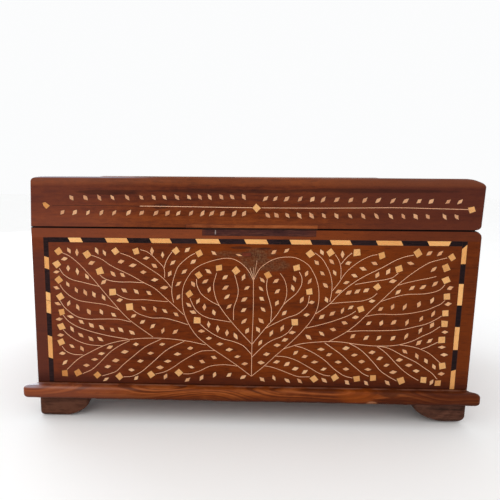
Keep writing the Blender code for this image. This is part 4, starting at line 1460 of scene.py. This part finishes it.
lid_leaves = np.concatenate((
    garland(UPPER_LEFT, 181.0, 182.7, -50, 70), garland(LOWER_LEFT, 169.6, 169.8, 50, 71),
    garland(UPPER_RIGHT, 181.6, 180.2, 44, 72), garland(LOWER_RIGHT, 168.7, 168.7, -50, 73)))
lid_flowers = squares(((LID_MIDDLE_X, 174.1, 45), (166.1, 174.1, 20)), LID_FLOWER_SIZE, 0.3, 74)
BROKEN_FLOWER = ((-165.7, 177), (-164.9, 174.3), (-162.8, 172.1), (-159.7, 174.7), (-163.4, 177.6))
LOST_WIRE = ((-158, 174.7), (-125, 174.9), (-90, 174.9), (-90, 175.2), (-125, 175.3), (-158, 175))
lay_stems("lid_wire", FRONT, lid_stems, seed=75)
let_in("lid_flowers", FRONT, lid_flowers, flower_bone, "bone", seed=76)
let_in("broken_flower", FRONT, (BROKEN_FLOWER,), orange_bone, "bone", seed=78)
# A flat dark strip in glue's finish, slightly proud of the face, is painted shade of the empty groove where
# the wire is lost.
let_in("lost_wire_groove", FRONT, (LOST_WIRE,), glue, "filler", seed=79, bed=False, proud=0.02 * MM,
       wear=0.02)
print("leaves on the lid:", let_in("lid_leaves", FRONT, lid_leaves, dull_bone, "bone", seed=77))

# %% [markdown]
# ## The sides and the top
# The photograph shows only the front. The other faces are taken to be plainer: one sprig on each
# side and on the top, and the garland carried round the lid's ends. The back is plain wood. A sprig
# is drawn as one quarter and mirrored to the other three.

# %% Sprigs and side garlands

QUARTER_STEM = ((0, 0), (12, 7), (27, 9), (45, 17), (60, 31))
QUARTER_FLOWER = (62.5, 34, 35)
QUARTER_LEAVES = ((9, 14, 40), (22, 17, 40), (36, 22, 40), (48, 31, 65), (22, 2, -18), (37, 5, 18),
                  (53, 13, 40), (66, 24, 65))
SIDE_WIRE = ((-98, 174.5), (-50, 174.9), (0, 174.6), (50, 174.9), (98, 174.5))
SIDE_LEAF_REACH = 92
SIDE_LEAF_STEP = 11.5
SIDE_LEAF_TURN = 38
SIDE_LEAF_UPPER = 181
SIDE_LEAF_LOWER = 168.5


def sprig(name, sheet, middle, stretch, seed):
    """A flower with four stems that bend out to four more flowers, and leaves along the stems."""
    stems, flowers, leaves = [], [(*middle, 45)], []
    for flip_x in (-1, 1):
        for flip_y in (-1, 1):
            scale = np.array((flip_x * stretch, flip_y))
            stems.append((np.array(QUARTER_STEM) * scale + middle).tolist())
            places = np.array((QUARTER_FLOWER,) + QUARTER_LEAVES)
            places[:, :2] = places[:, :2] * scale + middle
            places[:, 2] *= flip_x * flip_y
            flowers.append(tuple(places[0]))
            for place in places[1:]:
                leaves.append(lozenges((place[:2],), place[2], LEAF_LENGTH, LEAF_WIDTH, LEAF_UNEVEN,
                                       seed + len(leaves)))
    lay_stems(name + "_stems", sheet, stems, seed=seed)
    shapes = squares(flowers, FLOWER_SIZE, FLOWER_UNEVEN, seed + 1)
    let_in(name + "_flowers", sheet, shapes, flower_bone, "bone", seed=seed + 2)
    return let_in(name + "_leaves", sheet, np.concatenate(leaves), leaf_bone, "bone", seed=seed + 3)


def side_garland(name, sheet, seed):
    """A wire along the lid's end with a row of leaves above it and one below."""
    across = np.arange(-SIDE_LEAF_REACH, SIDE_LEAF_REACH + 1, SIDE_LEAF_STEP)
    upper = garland(across, SIDE_LEAF_UPPER, SIDE_LEAF_UPPER, SIDE_LEAF_TURN, seed)
    lower = garland(across, SIDE_LEAF_LOWER, SIDE_LEAF_LOWER, -SIDE_LEAF_TURN, seed + 1)
    lay_stems(name + "_wire", sheet, (SIDE_WIRE,), seed=seed + 2)
    return let_in(name + "_leaves", sheet, np.concatenate((upper, lower)), dull_bone, "bone", seed=seed + 3)


SIDE_MIDDLE = (0, 92)
for name, sheet, seed in (("left", LEFT, 80), ("right", RIGHT, 90)):
    made = sprig(name + "_sprig", sheet, SIDE_MIDDLE, 1.0, seed)
    made += side_garland(name + "_garland", sheet, seed + 4)
    print(name, "side:", made)
print("top:", sprig("top_sprig", TOP, (0, 0), 1.6, 100))

# %% [markdown]
# ## Light, floor and the last line
# The photograph was taken in soft daylight. A broad pale light stands in front and above, a cooler
# one behind lights the lid's rounded edge, and the sky is even. The floor is plain and pale.

# %% Lights, sky and floor


def soft_light(name, place, target, size, power, colour):
    """A square light of the given width that faces the target point."""
    lamp = bpy.data.lights.new(name, "AREA")
    lamp.size = size
    lamp.energy = power
    lamp.color = colour
    holder = put(name, lamp)
    ahead = unit(np.array(target, float) - np.array(place, float))
    right = unit(np.cross(ahead, (0.0, 0.0, 1.0)))
    turned = np.eye(4)
    turned[:3, :3] = np.column_stack((right, np.cross(right, ahead), -ahead))
    turned[:3, 3] = place
    holder.matrix_world = Matrix(turned.tolist())
    return holder


soft_light("window", (-0.45, -0.9, 0.8), (-0.02, -0.1, 0.1), 0.9, 2.6, (1.0, 0.97, 0.93))
soft_light("back_sky", (-0.9, 0.9, 0.5), (-0.1, 0, 0.2), 0.8, 5, (0.8, 0.9, 1.0))

world = bpy.data.worlds.new("sky")
bpy.context.scene.world = world
world.use_nodes = True
sky = world.node_tree.nodes["Background"]
sky.inputs["Color"].default_value = (0.97, 0.975, 0.98, 1.0)
sky.inputs["Strength"].default_value = 1.0
bpy.context.scene.view_settings.view_transform = "Standard"
print("lights:", 2)

# %% Floor

FLOOR_RADIUS = 5.0
FLOOR_RINGS = 40
FLOOR_SPOKES = 64
spread = np.linspace(0, 1, FLOOR_RINGS + 1)[1:, None] ** 2 * FLOOR_RADIUS
spoke = np.arange(FLOOR_SPOKES)[None, :] * 2 * math.pi / FLOOR_SPOKES
floor_points = np.stack((spread * np.cos(spoke), spread * np.sin(spoke), 0 * spread * spoke), axis=-1)
floor_faces = [face[::-1] for face in ring_faces(FLOOR_RINGS, FLOOR_SPOKES)[:-1]]
floor_mesh = bpy.data.meshes.new("floor")
floor_mesh.from_pydata(floor_points.reshape(-1, 3).tolist(), [], floor_faces)
floor_paint = Paint("pale_floor")
x, y, z = floor_paint.place()
mottle = floor_paint.noise(x * 12, y * 12, z, detail=3.0)
floor_colour = floor_paint.mix(mottle, srgb(252, 252, 251), srgb(254, 254, 254))
floor_mesh.materials.append(floor_paint.finish(floor_colour, 0.8, Specular_IOR_Level=0.1))
floor = put("floor", floor_mesh)
print("floor ready")
